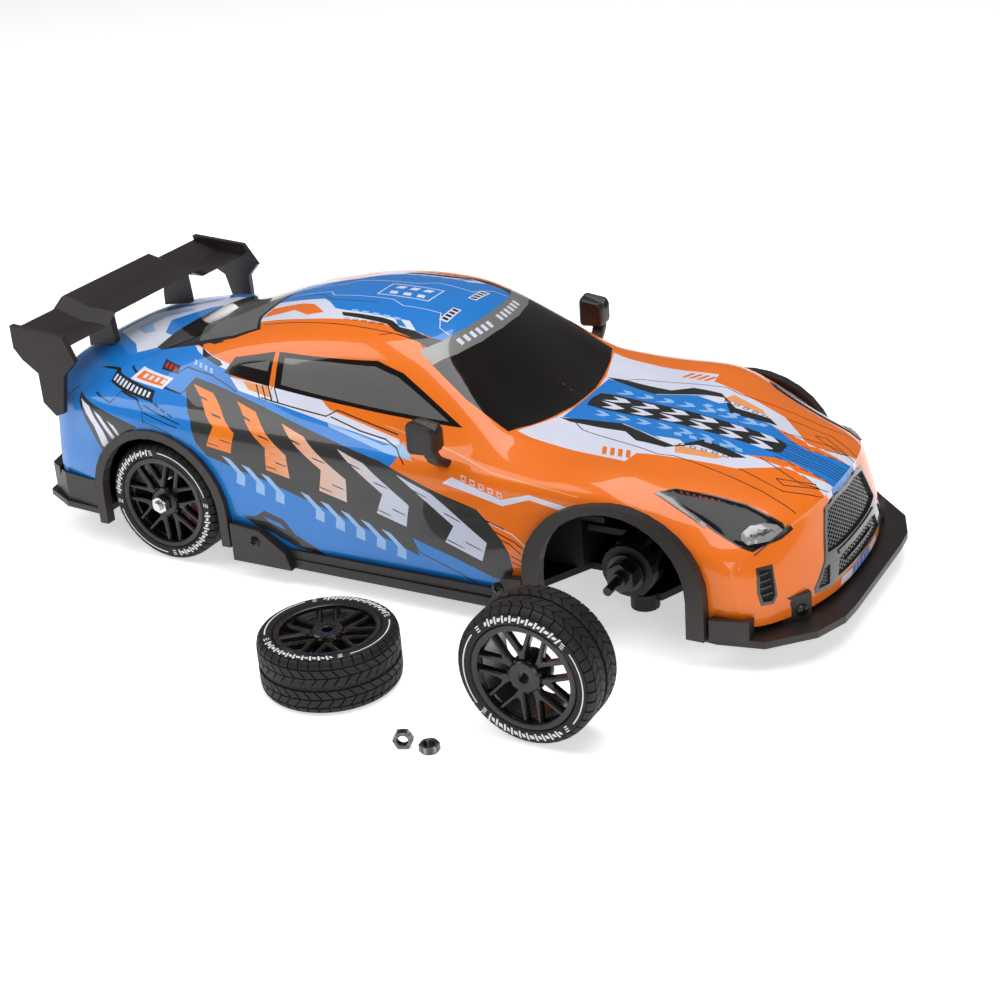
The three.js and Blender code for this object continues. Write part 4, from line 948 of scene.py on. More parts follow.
def raised(name, view, outline, height, crown, material, slot_name="paint", body="car", bury=0.35,
           step=1.1, skin=None):
    """A thin domed piece lying on the shell, on both sides. height is its edge and crown its extra middle."""
    points, faces = [], []
    ring = np.asarray(densify([tuple(q) for q in outline], step))
    if view == "face":
        ring = ring * [-1, 1]
    low, high = ring.min(0), ring.max(0)
    grid = [q for q in lattice_points(low, high, step) if inside(np.array([q]), shrink(ring, 0.3))[0]]
    coords = [Vector((float(a), float(b))) for a, b in list(ring) + grid]
    count = len(ring)
    edges = [(k, (k + 1) % count) for k in range(count)]
    verts, _, triangles, _, _, _ = delaunay_2d_cdt(coords, edges, [], 0, 1e-5)
    sheet = np.array([tuple(q) for q in verts])
    triangles = [list(t) for t in triangles if inside(sheet[list(t)].mean(0)[None], ring)[0]]
    if view == "face":
        base, normal = (skin or NOSE)(sheet[:, 0], sheet[:, 1]), (skin or NOSE).normal(sheet[:, 0],
                                                                                       sheet[:, 1])
    else:
        station, v = locate(sheet[:, 0], sheet[:, 1], 1 if view == "side" else 0,
                            1.9 if view == "side" else 0.0,
                            7.0 if view == "side" else 3.9)
        base, normal = loft(station, v), loft_normal(loft, station, v)
    gap = edge_distance(sheet, ring)
    lift = height * np.clip(0.45 + gap / 0.3, 0, 1) + crown * (1 - np.exp(-gap / 1.2))
    top = base + normal * lift[:, None]
    foot = base - normal * bury
    size = len(sheet)
    directed = {}
    oriented = []
    for a, b, c in triangles:
        n = np.cross(base[b] - base[a], base[c] - base[a])
        if n @ normal[a] < 0:
            b, c = c, b
        oriented.append((a, b, c))
        for e in ((a, b), (b, c), (c, a)):
            directed[e] = True
    for side in (1, -1):
        start = len(points)
        flip = np.array([1, side, 1])
        points.extend(list(top * flip) + list(foot * flip))
        piece = [(a, b, c) for a, b, c in oriented] + [(size + c, size + b, size + a) for a, b, c in oriented]
        piece += [(b, a, size + a, size + b) for a, b in directed if (b, a) not in directed]
        faces.extend([tuple(start + i for i in (f if side > 0 else f[::-1])) for f in piece])
    obj = make_object(name, points, faces, material, slot_name=slot_name, body=body)
    obj.data.set_sharp_from_angle(angle=math.radians(50))
    return obj


LAMP = [(98.2, 47.2), (102, 43), (112, 38.6), (122, 35.6), (133.6, 35.4), (137.4, 37.2), (129.6, 46.6),
        (124.6, 47.8),
        (112, 47), (104, 46.8)]
raised("lamp_cover", "plan", LAMP, 0.22, 0.12, "lamp_cover")
LENS = [(123.6, 44.6), (124.6, 46.4), (127.2, 46.6), (131.2, 43.4), (135.8, 38.4), (135.2, 36.6),
        (132.6, 36.2),
        (129, 37.8), (125.2, 41)]
raised("lamp_lens", "plan", LENS, 0.5, 0.45, "lens")
raised("lamp_bowl", "plan", [(125.6, 44.2), (127.4, 45), (130.4, 42.2), (133.6, 38.6), (132.8, 37.6),
                             (129.6, 39.4),
                             (126.6, 42)], 0.95, 0.25, "lens_dark")
raised("lamp_slit", "plan", [(127, 43.4), (127.8, 43.8), (132.4, 38.9), (131.8, 38.5)], 1.3, 0.1, "lens")
for k in range(7):
    ax, ay = 103.4 + 1.75 * k, 42.9 - 0.68 * k
    raised("lamp_bar_%d" % (k + 1), "plan", [(ax, ay), (ax + 0.95, ay - 0.36), (ax + 1.9, ay + 1.7),
                                             (ax + 1.0, ay + 2.1)],
           0.42, 0.06, "red", step=0.8)
raised("lamp_brow", "plan", [(97.4, 48.2), (98.2, 46.6), (103.4, 45.2), (106, 46.8), (114, 47.6),
                             (113.6, 48.6),
                             (104, 48.6)], 0.34, 0.15, "lens_grey")


def strand(path, normals, width, thick):
    """A square bar along a path that lies on a surface."""
    path, normals = np.asarray(path), np.asarray(normals)
    ahead = unit(np.gradient(path, axis=0))
    across = unit(np.cross(normals, ahead)) * width / 2
    up = normals * thick / 2
    rings = [path + across + up, path - across + up, path - across - up, path + across - up]
    points = np.stack(rings, 1).reshape(-1, 3)
    faces = [(3, 2, 1, 0)]
    for k in range(len(path) - 1):
        for j in range(4):
            faces.append((4 * k + j, 4 * k + (j + 1) % 4, 4 * k + 4 + (j + 1) % 4, 4 * k + 4 + j))
    last = 4 * (len(path) - 1)
    faces.append((last, last + 1, last + 2, last + 3))
    return [tuple(q) for q in points], faces


def grille(ring, spacing, slope, width, sink):
    """Crossed wires that fill an opening of the nose."""
    ring = np.array([(-a, b) for a, b in ring] + [(a, b) for a,
                                                  b in ring[::-1] if a > 0.01]) if ring[0][0] <= 0 \
        else np.array([(-a, b) for a, b in ring])
    parts = []
    low, high = ring.min(0), ring.max(0)
    for lean in (slope, -slope):
        direction = unit(np.array([1.0, lean]))
        side = np.array([-direction[1], direction[0]])
        reach = np.linalg.norm(high - low)
        middle = (low + high) / 2
        for offset in np.arange(-reach / 2, reach / 2, spacing):
            t = np.arange(-reach / 2, reach / 2, 0.8)
            line = middle + side * offset + direction * t[:, None]
            held = inside(line, shrink(ring, -0.15))
            start = None
            for k in range(len(t) + 1):
                if k < len(t) and held[k]:
                    start = k if start is None else start
                elif start is not None:
                    if k - start >= 2:
                        run = line[start:k]
                        n = NOSE.normal(run[:, 0], run[:, 1])
                        parts.append(strand(NOSE(run[:, 0], run[:, 1]) - n * sink, n, width, width))
                    start = None
    points, faces, _ = join_parts(parts)
    return points, faces


UPPER_OPENING = [(-1, 38.8), (8, 39.4), (16, 38.2), (19, 33), (22, 26.6), (14, 26), (-1, 25.8)]
LOWER_OPENING = [(-1, 23.2), (12, 23.4), (17, 22.6), (19.4, 17.8), (-1, 17.4)]
make_object("grille_wires_upper", *grille(UPPER_OPENING, 1.25, 0.62, 0.34, 0.75), "mesh", smooth=False,
            slot_name="paint")
make_object("grille_wires_lower", *grille(LOWER_OPENING, 1.25, 0.62, 0.34, 0.5), "mesh", smooth=False,
            slot_name="paint")
CORNER_OPENING = [(22.4, 23.2), (25.6, 22.8), (30.2, 18), (24.4, 17.4)]
for side, label in ((1, "right"), (-1, "left")):
    points, faces = grille(CORNER_OPENING, 1.0, 0.62, 0.3, 0.35)
    points = [(x, y * side, z) for x, y, z in points]
    make_object("grille_wires_%s" % label, points, faces, "mesh", smooth=False, slot_name="paint")


def nose_bar(name, start, end, width, lift, material="bezel", steps=12, mirror=True):
    """A bar across the nose between two points of half width and height."""
    line = np.array([(-(start[0] + (end[0] - start[0]) * t), start[1] + (end[1] - start[1]) * t)
                     for t in np.linspace(0, 1, steps)])
    n = NOSE.normal(line[:, 0], line[:, 1])
    one = strand(NOSE(line[:, 0], line[:, 1]) + n * lift, n, width, width * 0.8)
    parts = [one]
    if mirror:
        parts.append(([(x, -y, z) for x, y, z in one[0]], one[1]))
    points, faces, _ = join_parts(parts)
    obj = make_object(name, points, faces, material, slot_name="paint")
    face_outward(obj)
    soften(obj, 0.18, 2)
    return obj


nose_bar("grille_slot_bar", (16.6, 24.6), (-16.6, 24.6), 1.5, 0.35, "bezel", 40, mirror=False)
nose_bar("grille_low_bar", (12, 20.4), (-12, 20.4), 0.7, 0.1, "bezel", 30, mirror=False)
for k in range(4):
    z = 22.6 + 2.1 * k
    nose_bar("vent_slat_%d" % (k + 1), (45.0, z + 0.3), (48.9, z), 0.55, -0.35, "bezel", 5)
nose_bar("lamp_edge", (34.6, 41.2), (47.6, 35.6), 0.4, 0.1, "ink", 16)


# ---------------------------------------------------------------- screws
def screw_mesh():
    """A cross-head screw whose axis is +Z, its seat at z = 0."""
    outer = [(2.05 * math.cos(2 * math.pi * k / 36),
              2.05 * math.sin(2 * math.pi * k / 36)) for k in range(36)]
    arm, reach = 0.30, 1.2
    cross = [(arm, arm), (arm, reach), (-arm, reach), (-arm, arm), (-reach, arm), (-reach, -arm),
             (-arm, -arm),
             (-arm, -reach), (arm, -reach), (arm, -arm), (reach, -arm), (reach, arm)]
    middle = [(1.55 * math.cos(2 * math.pi * k / 24),
               1.55 * math.sin(2 * math.pi * k / 24)) for k in range(24)]
    coords = [Vector(q) for q in outer + cross + middle]
    edges = [(k, (k + 1) % 36) for k in range(36)] + [(36 + k, 36 + (k + 1) % 12) for k in range(12)]
    verts, _, triangles, _, _, _ = delaunay_2d_cdt(coords, edges, [], 0, 1e-5)
    sheet = np.array([tuple(q) for q in verts])
    points = [(a, b, 0.35 + 0.75 * (1 - (math.hypot(a, b) / 2.05)**2)) for a, b in sheet]
    in_cross = inside(sheet[np.array([list(t) for t in triangles])].mean(1), np.array(cross))
    faces = [tuple(t) for t, dug in zip(triangles, in_cross) if not dug]
    start = len(points)
    points += [(a * 0.9, b * 0.9, 0.3) for a, b in cross]
    faces += [(36 + k, 36 + (k + 1) % 12, start + (k + 1) % 12, start + k) for k in range(12)]
    faces.append(tuple(start + k for k in range(12)))
    start = len(points)
    points += [(a, b, -0.4) for a, b in outer]
    faces += [((k + 1) % 36, k, start + k, start + (k + 1) % 36) for k in range(36)]
    faces.append(tuple(start + k for k in reversed(range(36))))
    mesh = bpy.data.meshes.new("cross_screw")
    mesh.from_pydata([tuple(c / 1000 for c in q) for q in points], [], faces)
    mesh.materials.append(M["black_steel"])
    work = bmesh.new()
    work.from_mesh(mesh)
    bmesh.ops.recalc_face_normals(work, faces=work.faces)
    for face in work.faces:
        face.smooth = True
    work.to_mesh(mesh)
    work.free()
    mesh.set_sharp_from_angle(angle=math.radians(40))
    return mesh


SCREW_MESH = screw_mesh()


def put_screw(name, origin, direction, node, lift=0.0):
    """Sets a screw where a line from outside meets a CAD node."""
    obj = frame["nodes"][node]
    start = Vector([float(c) for c in metres(origin)])
    heading = Vector(direction).normalized()
    to_local = obj.matrix_world.inverted()
    local = to_local.to_3x3() @ heading
    hit, place, normal, _ = obj.ray_cast(to_local @ start, local.normalized())
    if not hit:
        return
    place = obj.matrix_world @ place
    normal = (obj.matrix_world.to_3x3() @ normal).normalized()
    screw = bpy.data.objects.new(name, SCREW_MESH)
    bpy.context.scene.collection.objects.link(screw)
    spin = normal.to_track_quat("Z", "Y").to_matrix().to_4x4()
    screw.matrix_world = Matrix.Translation(place + normal * lift / 1000) @ spin
    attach(screw, "car")


for side, label in ((-1, "right"), (1, "left")):
    put_screw("screw_skirt_rear_%s" % label, (-47.9, side * 80, 14.6), (0, -side, 0), "side_skirt_%s" % label)
    put_screw("screw_skirt_front_%s" % label, (46.7, side * 80, 14.6), (0, -side, 0), "side_skirt_%s" % label)
    put_screw("screw_splitter_%s" % label, (175, side * 38, 14.2), (-1, 0, 0), "front_splitter")

# ---------------------------------------------------------------- mirrors
def rounded_loop(x0, x1, z0, z1, corner, count=6):
    loop = []
    for cx, cz, start in ((x1 - corner, z1 - corner, 0), (x0 + corner, z1 - corner, 90),
                          (x0 + corner, z0 + corner, 180),
                          (x1 - corner, z0 + corner, 270)):
        for k in range(count):
            a = math.radians(start + 90 * k / (count - 1))
            loop.append((cx + corner * math.cos(a), cz + corner * math.sin(a)))
    return loop


def mirror_piece(side, label):
    """A boxy housing with a scooped cap, on a short stalk."""
    stations = [(-64.7, 0.8), (-64.3, 0.3), (-63.2, 0.0), (-61.2, 0.0), (-59.0, 0.0), (-57.6, 0.3),
                (-57.0, 0.9)]
    points, faces = [], []
    for y, inset in stations:
        wedge = (y + 64.7) * 0.12
        loop = rounded_loop(19.6 + inset + wedge, 29.9 - inset, 59.2 + inset, 70.2 - inset - wedge * 0.5, 1.5)
        for x, z in loop:
            slope = 1.6 * max(0.0, (x - 25.4) / 3.8)**1.6 * (1 if z > 65 else -0.4)
            scoop = 1.5 * math.exp(-((y + 61.2) / 1.3)**2) * (1 if z > 66.5 else 0) * max(0.0,
                min(1.0, (x - 21) / 2.4))
            points.append((x, y, z - slope - scoop))
    ring = 24
    for k in range(len(stations) - 1):
        for j in range(ring):
            faces.append((k * ring + j, k * ring + (j + 1) % ring, (k + 1) * ring + (j + 1) % ring,
                          (k + 1) * ring + j))
    faces.append(tuple(reversed(range(ring))))
    faces.append(tuple((len(stations) - 1) * ring + j for j in range(ring)))
    stalk = []
    rows = [(-61.6, 62.0, 0.0), (-61.2, 59.0, 0.2), (-59.6, 56.6, 0.3), (-56.4, 54.4, 0.0),
            (-54.6, 53.4, -0.2)]
    for y, z, inset in rows:
        for x, dy in rounded_loop(24.4 + inset, 29.4 - inset, -1.7, 1.7, 0.9, 4):
            stalk.append((x, y + dy * 0.72, z + dy * 0.55))
    stalk_faces = []
    for k in range(len(rows) - 1):
        for j in range(16):
            stalk_faces.append((k * 16 + j, k * 16 + (j + 1) % 16, (k + 1) * 16 + (j + 1) % 16,
                                (k + 1) * 16 + j))
    stalk_faces.append(tuple(reversed(range(16))))
    stalk_faces.append(tuple((len(rows) - 1) * 16 + j for j in range(16)))
    points, faces, _ = join_parts([(points, faces), (stalk, stalk_faces)])
    points = [(x, y * side, z) for x, y, z in points]
    obj = make_object("mirror_%s_detail" % label, points, faces, "trim", slot_name="trim")
    face_outward(obj)
    for polygon in obj.data.polygons:
        polygon.use_smooth = True
    obj.data.set_sharp_from_angle(angle=math.radians(48))
    soften(obj, 0.22, 2)
    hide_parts("mirror_%s" % label)


mirror_piece(1, "right")
mirror_piece(-1, "left")

# ---------------------------------------------------------------- tyres
TREAD_PROFILE = [(19.2, 0.0), (20.4, 0.12), (21.2, 0.62), (21.85, 1.5), (22.14, 2.7), (22.24, 4.6),
                 (22.24, 9.2)]


MARK_WIDTHS = (1.9, 3.4, 1.9, 4.0, 1.9, 2.6, 1.9, 3.6, 1.9, 3.0, 1.9, 4.2, 1.9, 2.8, 1.9, 3.4, 1.9, 3.0,
               1.9, 2.6)


def tyre_mesh():
    """A tyre round its own axle, outer face at y = 0 and inner face at y = width. Slots: rubber, white."""
    half = np.array(TREAD_PROFILE)
    whole = np.concatenate([half, half[::-1][1:] * [1, -1] + [0, TYRE_WIDTH]])
    run = np.concatenate([[0], np.cumsum(np.linalg.norm(np.diff(whole, axis=0), axis=1))])
    total = run[-1]

    def skin(angle, p, depth):
        radius = np.interp(p, run, whole[:, 0])
        y = np.interp(p, run, whole[:, 1])
        e = 0.3
        dr = np.interp(p + e, run, whole[:, 0]) - np.interp(p - e, run, whole[:, 0])
        dy = np.interp(p + e, run, whole[:, 1]) - np.interp(p - e, run, whole[:, 1])
        length = math.hypot(dr, dy) or 1
        radius -= depth * dy / length
        y += depth * dr / length
        return (radius * math.cos(angle), y, radius * math.sin(angle))

    parts = []
    groove = 0.62
    core = []
    for p in np.linspace(1.2, total - 1.2, 26):
        x, y, _ = skin(0, p, groove)
        core.append((x, y))
    inner = [(17.1, TYRE_WIDTH - 0.5), (16.3, TYRE_WIDTH - 1.2), (16.3, 1.2), (17.1, 0.5), (17.35, 0.12),
             (18.2, 0.02),
             (19.6, 0.0), (20.35, 0.16)]
    rear_wall = [(r, TYRE_WIDTH - y) for r, y in inner[::-1]][:4]
    parts.append((*lathe(core + rear_wall + inner, 96), 0))

    def block(p0, p1, rows, start, end, lean0=0.0, lean1=0.0):
        """One tread block from p0 to p1 over the profile, between two angles that the leans slide."""
        points, faces = [], []
        inset = 0.13
        levels = ((0.0, groove + 0.1), (0.0, inset), (inset, 0.0))
        for edge, depth in levels:
            for k in range(rows + 1):
                t = k / rows
                p = p0 + edge + (p1 - p0 - 2 * edge) * t
                radius = np.interp(p, run, whole[:, 0])
                a = start + lean0 * t + edge / radius
                b = end + lean1 * t - edge / radius
                points.append(skin(a, p, depth))
                points.append(skin(b, p, depth))
        ring = rows + 1
        for level in range(2):
            lo, hi = level * ring * 2, (level + 1) * ring * 2
            for k in range(rows):
                faces.append((lo + 2 * k, hi + 2 * k, hi + 2 * k + 2, lo + 2 * k + 2))
                faces.append((lo + 2 * k + 3, hi + 2 * k + 3, hi + 2 * k + 1, lo + 2 * k + 1))
            faces.append((lo + 1, hi + 1, hi, lo))
            faces.append((lo + 2 * rows, hi + 2 * rows, hi + 2 * rows + 1, lo + 2 * rows + 1))
        top = 2 * ring * 2
        for k in range(rows):
            faces.append((top + 2 * k, top + 2 * k + 1, top + 2 * k + 3, top + 2 * k + 2))
        parts.append((points, faces, 0))

    pitch = 2 * math.pi / 40
    gap = 0.42 / 22.2
    for i in range(40):
        a = i * pitch
        block(1.35, 4.3, 5, a, a + pitch - gap)
        block(total - 4.3, total - 1.35, 5, a + pitch / 2, a + 1.5 * pitch - gap)
        lean = pitch * 0.62
        block(4.62, 7.2, 2, a, a + pitch - gap, lean, lean)
        block(7.45, 10.2, 2, a + lean, a + pitch - gap + lean, -lean, -lean)
        block(total - 10.1, total - 7.5, 2, a + pitch / 3, a + 4 * pitch / 3 - gap, lean, lean)
        block(total - 7.2, total - 4.62, 2, a + pitch / 3 + lean, a + 4 * pitch / 3 - gap + lean, -lean,
              -lean)

    def mark(a0, a1, r0, r1, steps, skew=0.0):
        """A white patch on the sidewall between two angles and two radii."""
        points, faces = [], []
        rows = 1 if r1 - r0 < 0.5 else 4
        for k in range(steps + 1):
            a = a0 + (a1 - a0) * k / steps
            for j in range(rows + 1):
                radius = r0 + (r1 - r0) * j / rows
                slide = skew * j / rows
                y = np.interp(radius, [17.35, 18.2, 19.6, 20.4], [0.12, 0.02, 0.0, 0.16]) - 0.06
                points.append((radius * math.cos(a + slide), y, radius * math.sin(a + slide)))
        for k in range(steps):
            for j in range(rows):
                a = (rows + 1) * k + j
                faces.append((a, a + 1, a + rows + 2, a + rows + 1))
        parts.append((points, faces, 1))

    turn = math.radians(1)
    for side in (0, 180):
        mark((side - 36) * turn, (side + 36) * turn, 19.05, 19.45, 30)
        top = side + 90
        for end in (-1, 1):
            for k in range(3):
                a = (top + end * (45 - 0.5 * k)) * turn
                r = 18.1 + 0.72 * k
                mark(a - 0.035, a + 0.035, r, r + 0.34, 3, 0.012 * end)
        spot = top - 39.5
        for k, width in enumerate(MARK_WIDTHS):
            a0, a1 = spot * turn, (spot + width) * turn
            low, high = ((17.9, 20.2), (18.5, 19.6))[k % 2]
            mark(a0, a1, low, high, 3, 0.03 * (1 if side else -1))
            spot += width + 1.3
    points, faces, kinds = join_parts(parts)
    mesh = bpy.data.meshes.new("tyre")
    mesh.from_pydata([tuple(c / 1000 for c in p) for p in points], [], faces)
    mesh.materials.append(M["rubber"])
    mesh.materials.append(M["mark"])
    for polygon, kind in zip(mesh.polygons, kinds):
        polygon.material_index = kind
        polygon.use_smooth = True
    work = bmesh.new()
    work.from_mesh(mesh)
    bmesh.ops.recalc_face_normals(work, faces=work.faces)
    for face in work.faces:
        if face.material_index == 1 and face.normal.y > 0:
            face.normal_flip()
    work.to_mesh(mesh)
    work.free()
    mesh.set_sharp_from_angle(angle=math.radians(38))
    return mesh


# ---------------------------------------------------------------- rims
SPOKES = 7


def rim_mesh():
    """A rim round its own axle, outer face at y = 0. The spokes split in two toward the lip."""
    parts = []
    barrel = [(15.0, 0.5), (15.5, 0.25), (16.7, 0.22), (16.95, 0.5), (16.6, 1.0), (15.95, 1.3),
              (15.95, TYRE_WIDTH - 0.1),
              (14.9, TYRE_WIDTH - 0.1), (14.7, 6.0), (14.75, 3.6), (15.15, 3.2), (15.15, 2.2), (14.85, 1.6)]
    parts.append((*lathe(barrel, 84), 0))
    hub = [(1.75, 0.75), (2.0, 0.62), (4.6, 0.62), (5.1, 1.1), (5.3, 2.0), (5.8, 3.2), (5.8, 8.9), (5.2, 9.0),
           (5.2, 4.9), (3.0, 4.9), (3.0, 3.3), (1.75, 3.3)]
    parts.append((*lathe(hub, 48), 0))
    for i in range(SPOKES):
        angle = 2 * math.pi * i / SPOKES + math.radians(97)
        plan = [(4.6, -1.2), (6.2, -1.25), (7.6, -1.75), (15.0, -5.35), (15.5, -3.95), (9.2, -0.75),
                (8.5, 0.0), (9.2, 0.75),
                (15.5, 3.95), (15.0, 5.35), (7.6, 1.75), (6.2, 1.25), (4.6, 1.2)]
        inner_plan = [(4.6, -0.8), (6.2, -0.85), (7.75, -1.35), (15.0, -4.95), (15.3, -4.3), (8.9, -1.1),
                      (8.0, 0.0),
                      (8.9, 1.1), (15.3, 4.3), (15.0, 4.95), (7.75, 1.35), (6.2, 0.85), (4.6, 0.8)]

        def place(outline, y_of):
            return [(r * math.cos(angle) - s * math.sin(angle), y_of(r),
                     r * math.sin(angle) + s * math.cos(angle))
                    for r, s in outline]
        front = place(inner_plan, lambda r: 1.15 + 0.10 * max(0.0, 12.0 - r))
        shoulder = place(plan, lambda r: 1.75 + 0.10 * max(0.0, 12.0 - r))
        back = place(plan, lambda r: 3.7 + 0.05 * max(0.0, 12.0 - r))
        count = len(plan)
        front_faces = [(0, 1, 11, 12), (1, 2, 10, 11), (2, 6, 10), (2, 3, 4, 5), (2, 5, 6), (10, 6, 7),
                       (10, 7, 8, 9)]
        faces = list(front_faces)
        for ring in (0, 1):
            base = ring * count
            faces += [(base + k, base + count + k, base + count + (k + 1) % count, base + (k + 1) % count)
                      for k in range(count)]
        faces += [tuple(2 * count + k for k in reversed(face)) for face in front_faces]
        parts.append((front + shoulder + back, faces, 0))
    for i in range(SPOKES):
        angle = 2 * math.pi * (i + 0.5) / SPOKES + math.radians(97)
        cx, cz = 5.0 * math.cos(angle), 5.0 * math.sin(angle)
        points, faces = lathe([(0.0, 1.3), (0.5, 1.3), (0.75, 1.5), (0.75, 3.0)], 10, (cx, 0, cz),
                              closed=False)
        parts.append((points, faces, 0))
    points, faces, _ = join_parts(parts)
    mesh = bpy.data.meshes.new("rim")
    mesh.from_pydata([tuple(c / 1000 for c in p) for p in points], [], faces)
    mesh.materials.append(M["rim"])
    work = bmesh.new()
    work.from_mesh(mesh)
    bmesh.ops.recalc_face_normals(work, faces=work.faces)
    for face in work.faces:
        face.smooth = True
    work.to_mesh(mesh)
    work.free()
    mesh.set_sharp_from_angle(angle=math.radians(32))
    return mesh


TYRE_MESH = tyre_mesh()
RIM_MESH = rim_mesh()


def put_wheel(place, body, matrix, spaces=0):
    """spaces rolls a wheel by whole spoke spaces, so that its marks stand elsewhere and its spokes do not."""
    for kind, mesh, slot_name in (("tyre", TYRE_MESH, "tyre"), ("rim", RIM_MESH, "rim")):
        if spaces:
            mesh = mesh.copy()
            mesh.transform(Matrix.Rotation(-2 * math.pi * spaces / SPOKES, 4, "Y"))
        obj = bpy.data.objects.new("%s_%s_detail" % (kind, place), mesh)
        bpy.context.scene.collection.objects.link(obj)
        obj.matrix_world = matrix
        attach(obj, body)
        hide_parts("%s_%s" % (kind, place))


def at(x, y, z):
    return Matrix.Translation(Vector([float(c) for c in metres((x, y, z))]))


SIDES = Matrix.Rotation(math.pi, 4, "Z")

put_wheel("rear_right", "rear_wheels", at(-AXLE_X, -WHEEL_FACE, AXLE_Z), 1)
put_wheel("front_right", "front_wheel_right", at(AXLE_X, -WHEEL_FACE - PULL_OFF, AXLE_Z))
put_wheel("rear_left", "rear_wheels", at(-AXLE_X, WHEEL_FACE, AXLE_Z) @ SIDES, 2)
put_wheel("front_left", "front_wheel_left", at(AXLE_X, WHEEL_FACE, AXLE_Z) @ SIDES)
put_wheel("spare", "spare_wheel",
          at(SPARE_AT[0], SPARE_AT[1], TYRE_WIDTH) @ Matrix.Rotation(-math.pi / 2, 4, "X"))

# ---------------------------------------------------------------- brakes behind the rear spokes
def drilled_disc(name, side, body):
    count, drills = 60, 21
    outer = [(12.6 * math.cos(2 * math.pi * k / count),
              12.6 * math.sin(2 * math.pi * k / count)) for k in range(count)]
    inner = [(6.5 * math.cos(2 * math.pi * k / 30), 6.5 * math.sin(2 * math.pi * k / 30)) for k in range(30)]
    holes = []
    for row, radius in enumerate((8.4, 9.9, 11.4)):
        for k in range(drills):
            a = 2 * math.pi * (k + row / 3) / drills
            holes.append([(radius * math.cos(a) + 0.36 * math.cos(2 * math.pi * j / 6),
                           radius * math.sin(a) + 0.36 * math.sin(2 * math.pi * j / 6)) for j in range(6)])
    coords, edges = [], []
    for ring in [outer, inner] + holes:
        start = len(coords)
        coords += [Vector(q) for q in ring]
        edges += [(start + k, start + (k + 1) % len(ring)) for k in range(len(ring))]
    verts, _, triangles, _, _, _ = delaunay_2d_cdt(coords, edges, [], 0, 1e-6)
    sheet = np.array([tuple(q) for q in verts])
    triangles = np.array([list(t) for t in triangles])
    middles = sheet[triangles].mean(1)
    radius = np.hypot(middles[:, 0], middles[:, 1])
    keep = (radius < 12.6) & (radius > 6.45)
    for ring in holes:
        keep &= ~inside(middles, np.array(ring))
    kept = [tuple(t) for t in triangles[keep]]
    size = len(sheet)
    y0, y1 = side * (WHEEL_FACE - 9.5), side * (WHEEL_FACE - 10.5)
    points = [(-AXLE_X + a, y0, AXLE_Z + b) for a, b in sheet] + [(-AXLE_X + a, y1, AXLE_Z + b) for a,
                                                                  b in sheet]
    directed = {(t[i], t[(i + 1) % 3]) for t in kept for i in range(3)}
    faces = kept + [tuple(size + i for i in reversed(t)) for t in kept]
    faces += [(b, a, size + a, size + b) for a, b in directed if (b, a) not in directed]
    obj = make_object(name, points, faces, "disc", smooth=False, body=body, slot_name="steel")
    face_outward(obj)


def caliper(name, side):
    """A block over the disc's edge, with two pads and a bridge."""
    rows = []
    for k in range(9):
        angle = math.radians(-62 + 8 * k)
        bulge = 0.5 * math.sin(math.pi * k / 8)
        loop = [(7.6 - bulge, 11.9), (12.9, 11.9), (13.4, 11.4), (13.4, 7.4), (12.9, 6.9),
                (7.6 - bulge, 6.9), (7.2, 7.4),
                (7.2, 9.1), (12.9, 9.1), (12.9, 10.9), (7.2, 10.9), (7.2, 11.4)]
        for radius, depth in loop:
            rows.append((-AXLE_X + radius * math.cos(angle), side * (WHEEL_FACE - depth),
                         AXLE_Z + radius * math.sin(angle)))
    ring = 12
    faces = [(k * ring + j, k * ring + (j + 1) % ring, (k + 1) * ring + (j + 1) % ring, (k + 1) * ring + j)
             for k in range(8) for j in range(ring)]
    faces.append(tuple(reversed(range(ring))))
    faces.append(tuple(8 * ring + j for j in range(ring)))
    obj = make_object(name, rows, faces, "caliper", slot_name="nylon")
    face_outward(obj)
    soften(obj, 0.25, 2)


for side, label in ((-1, "right"), (1, "left")):
    drilled_disc("brake_disc_%s" % label, side, "rear_wheels")
    caliper("brake_caliper_%s" % label, side)


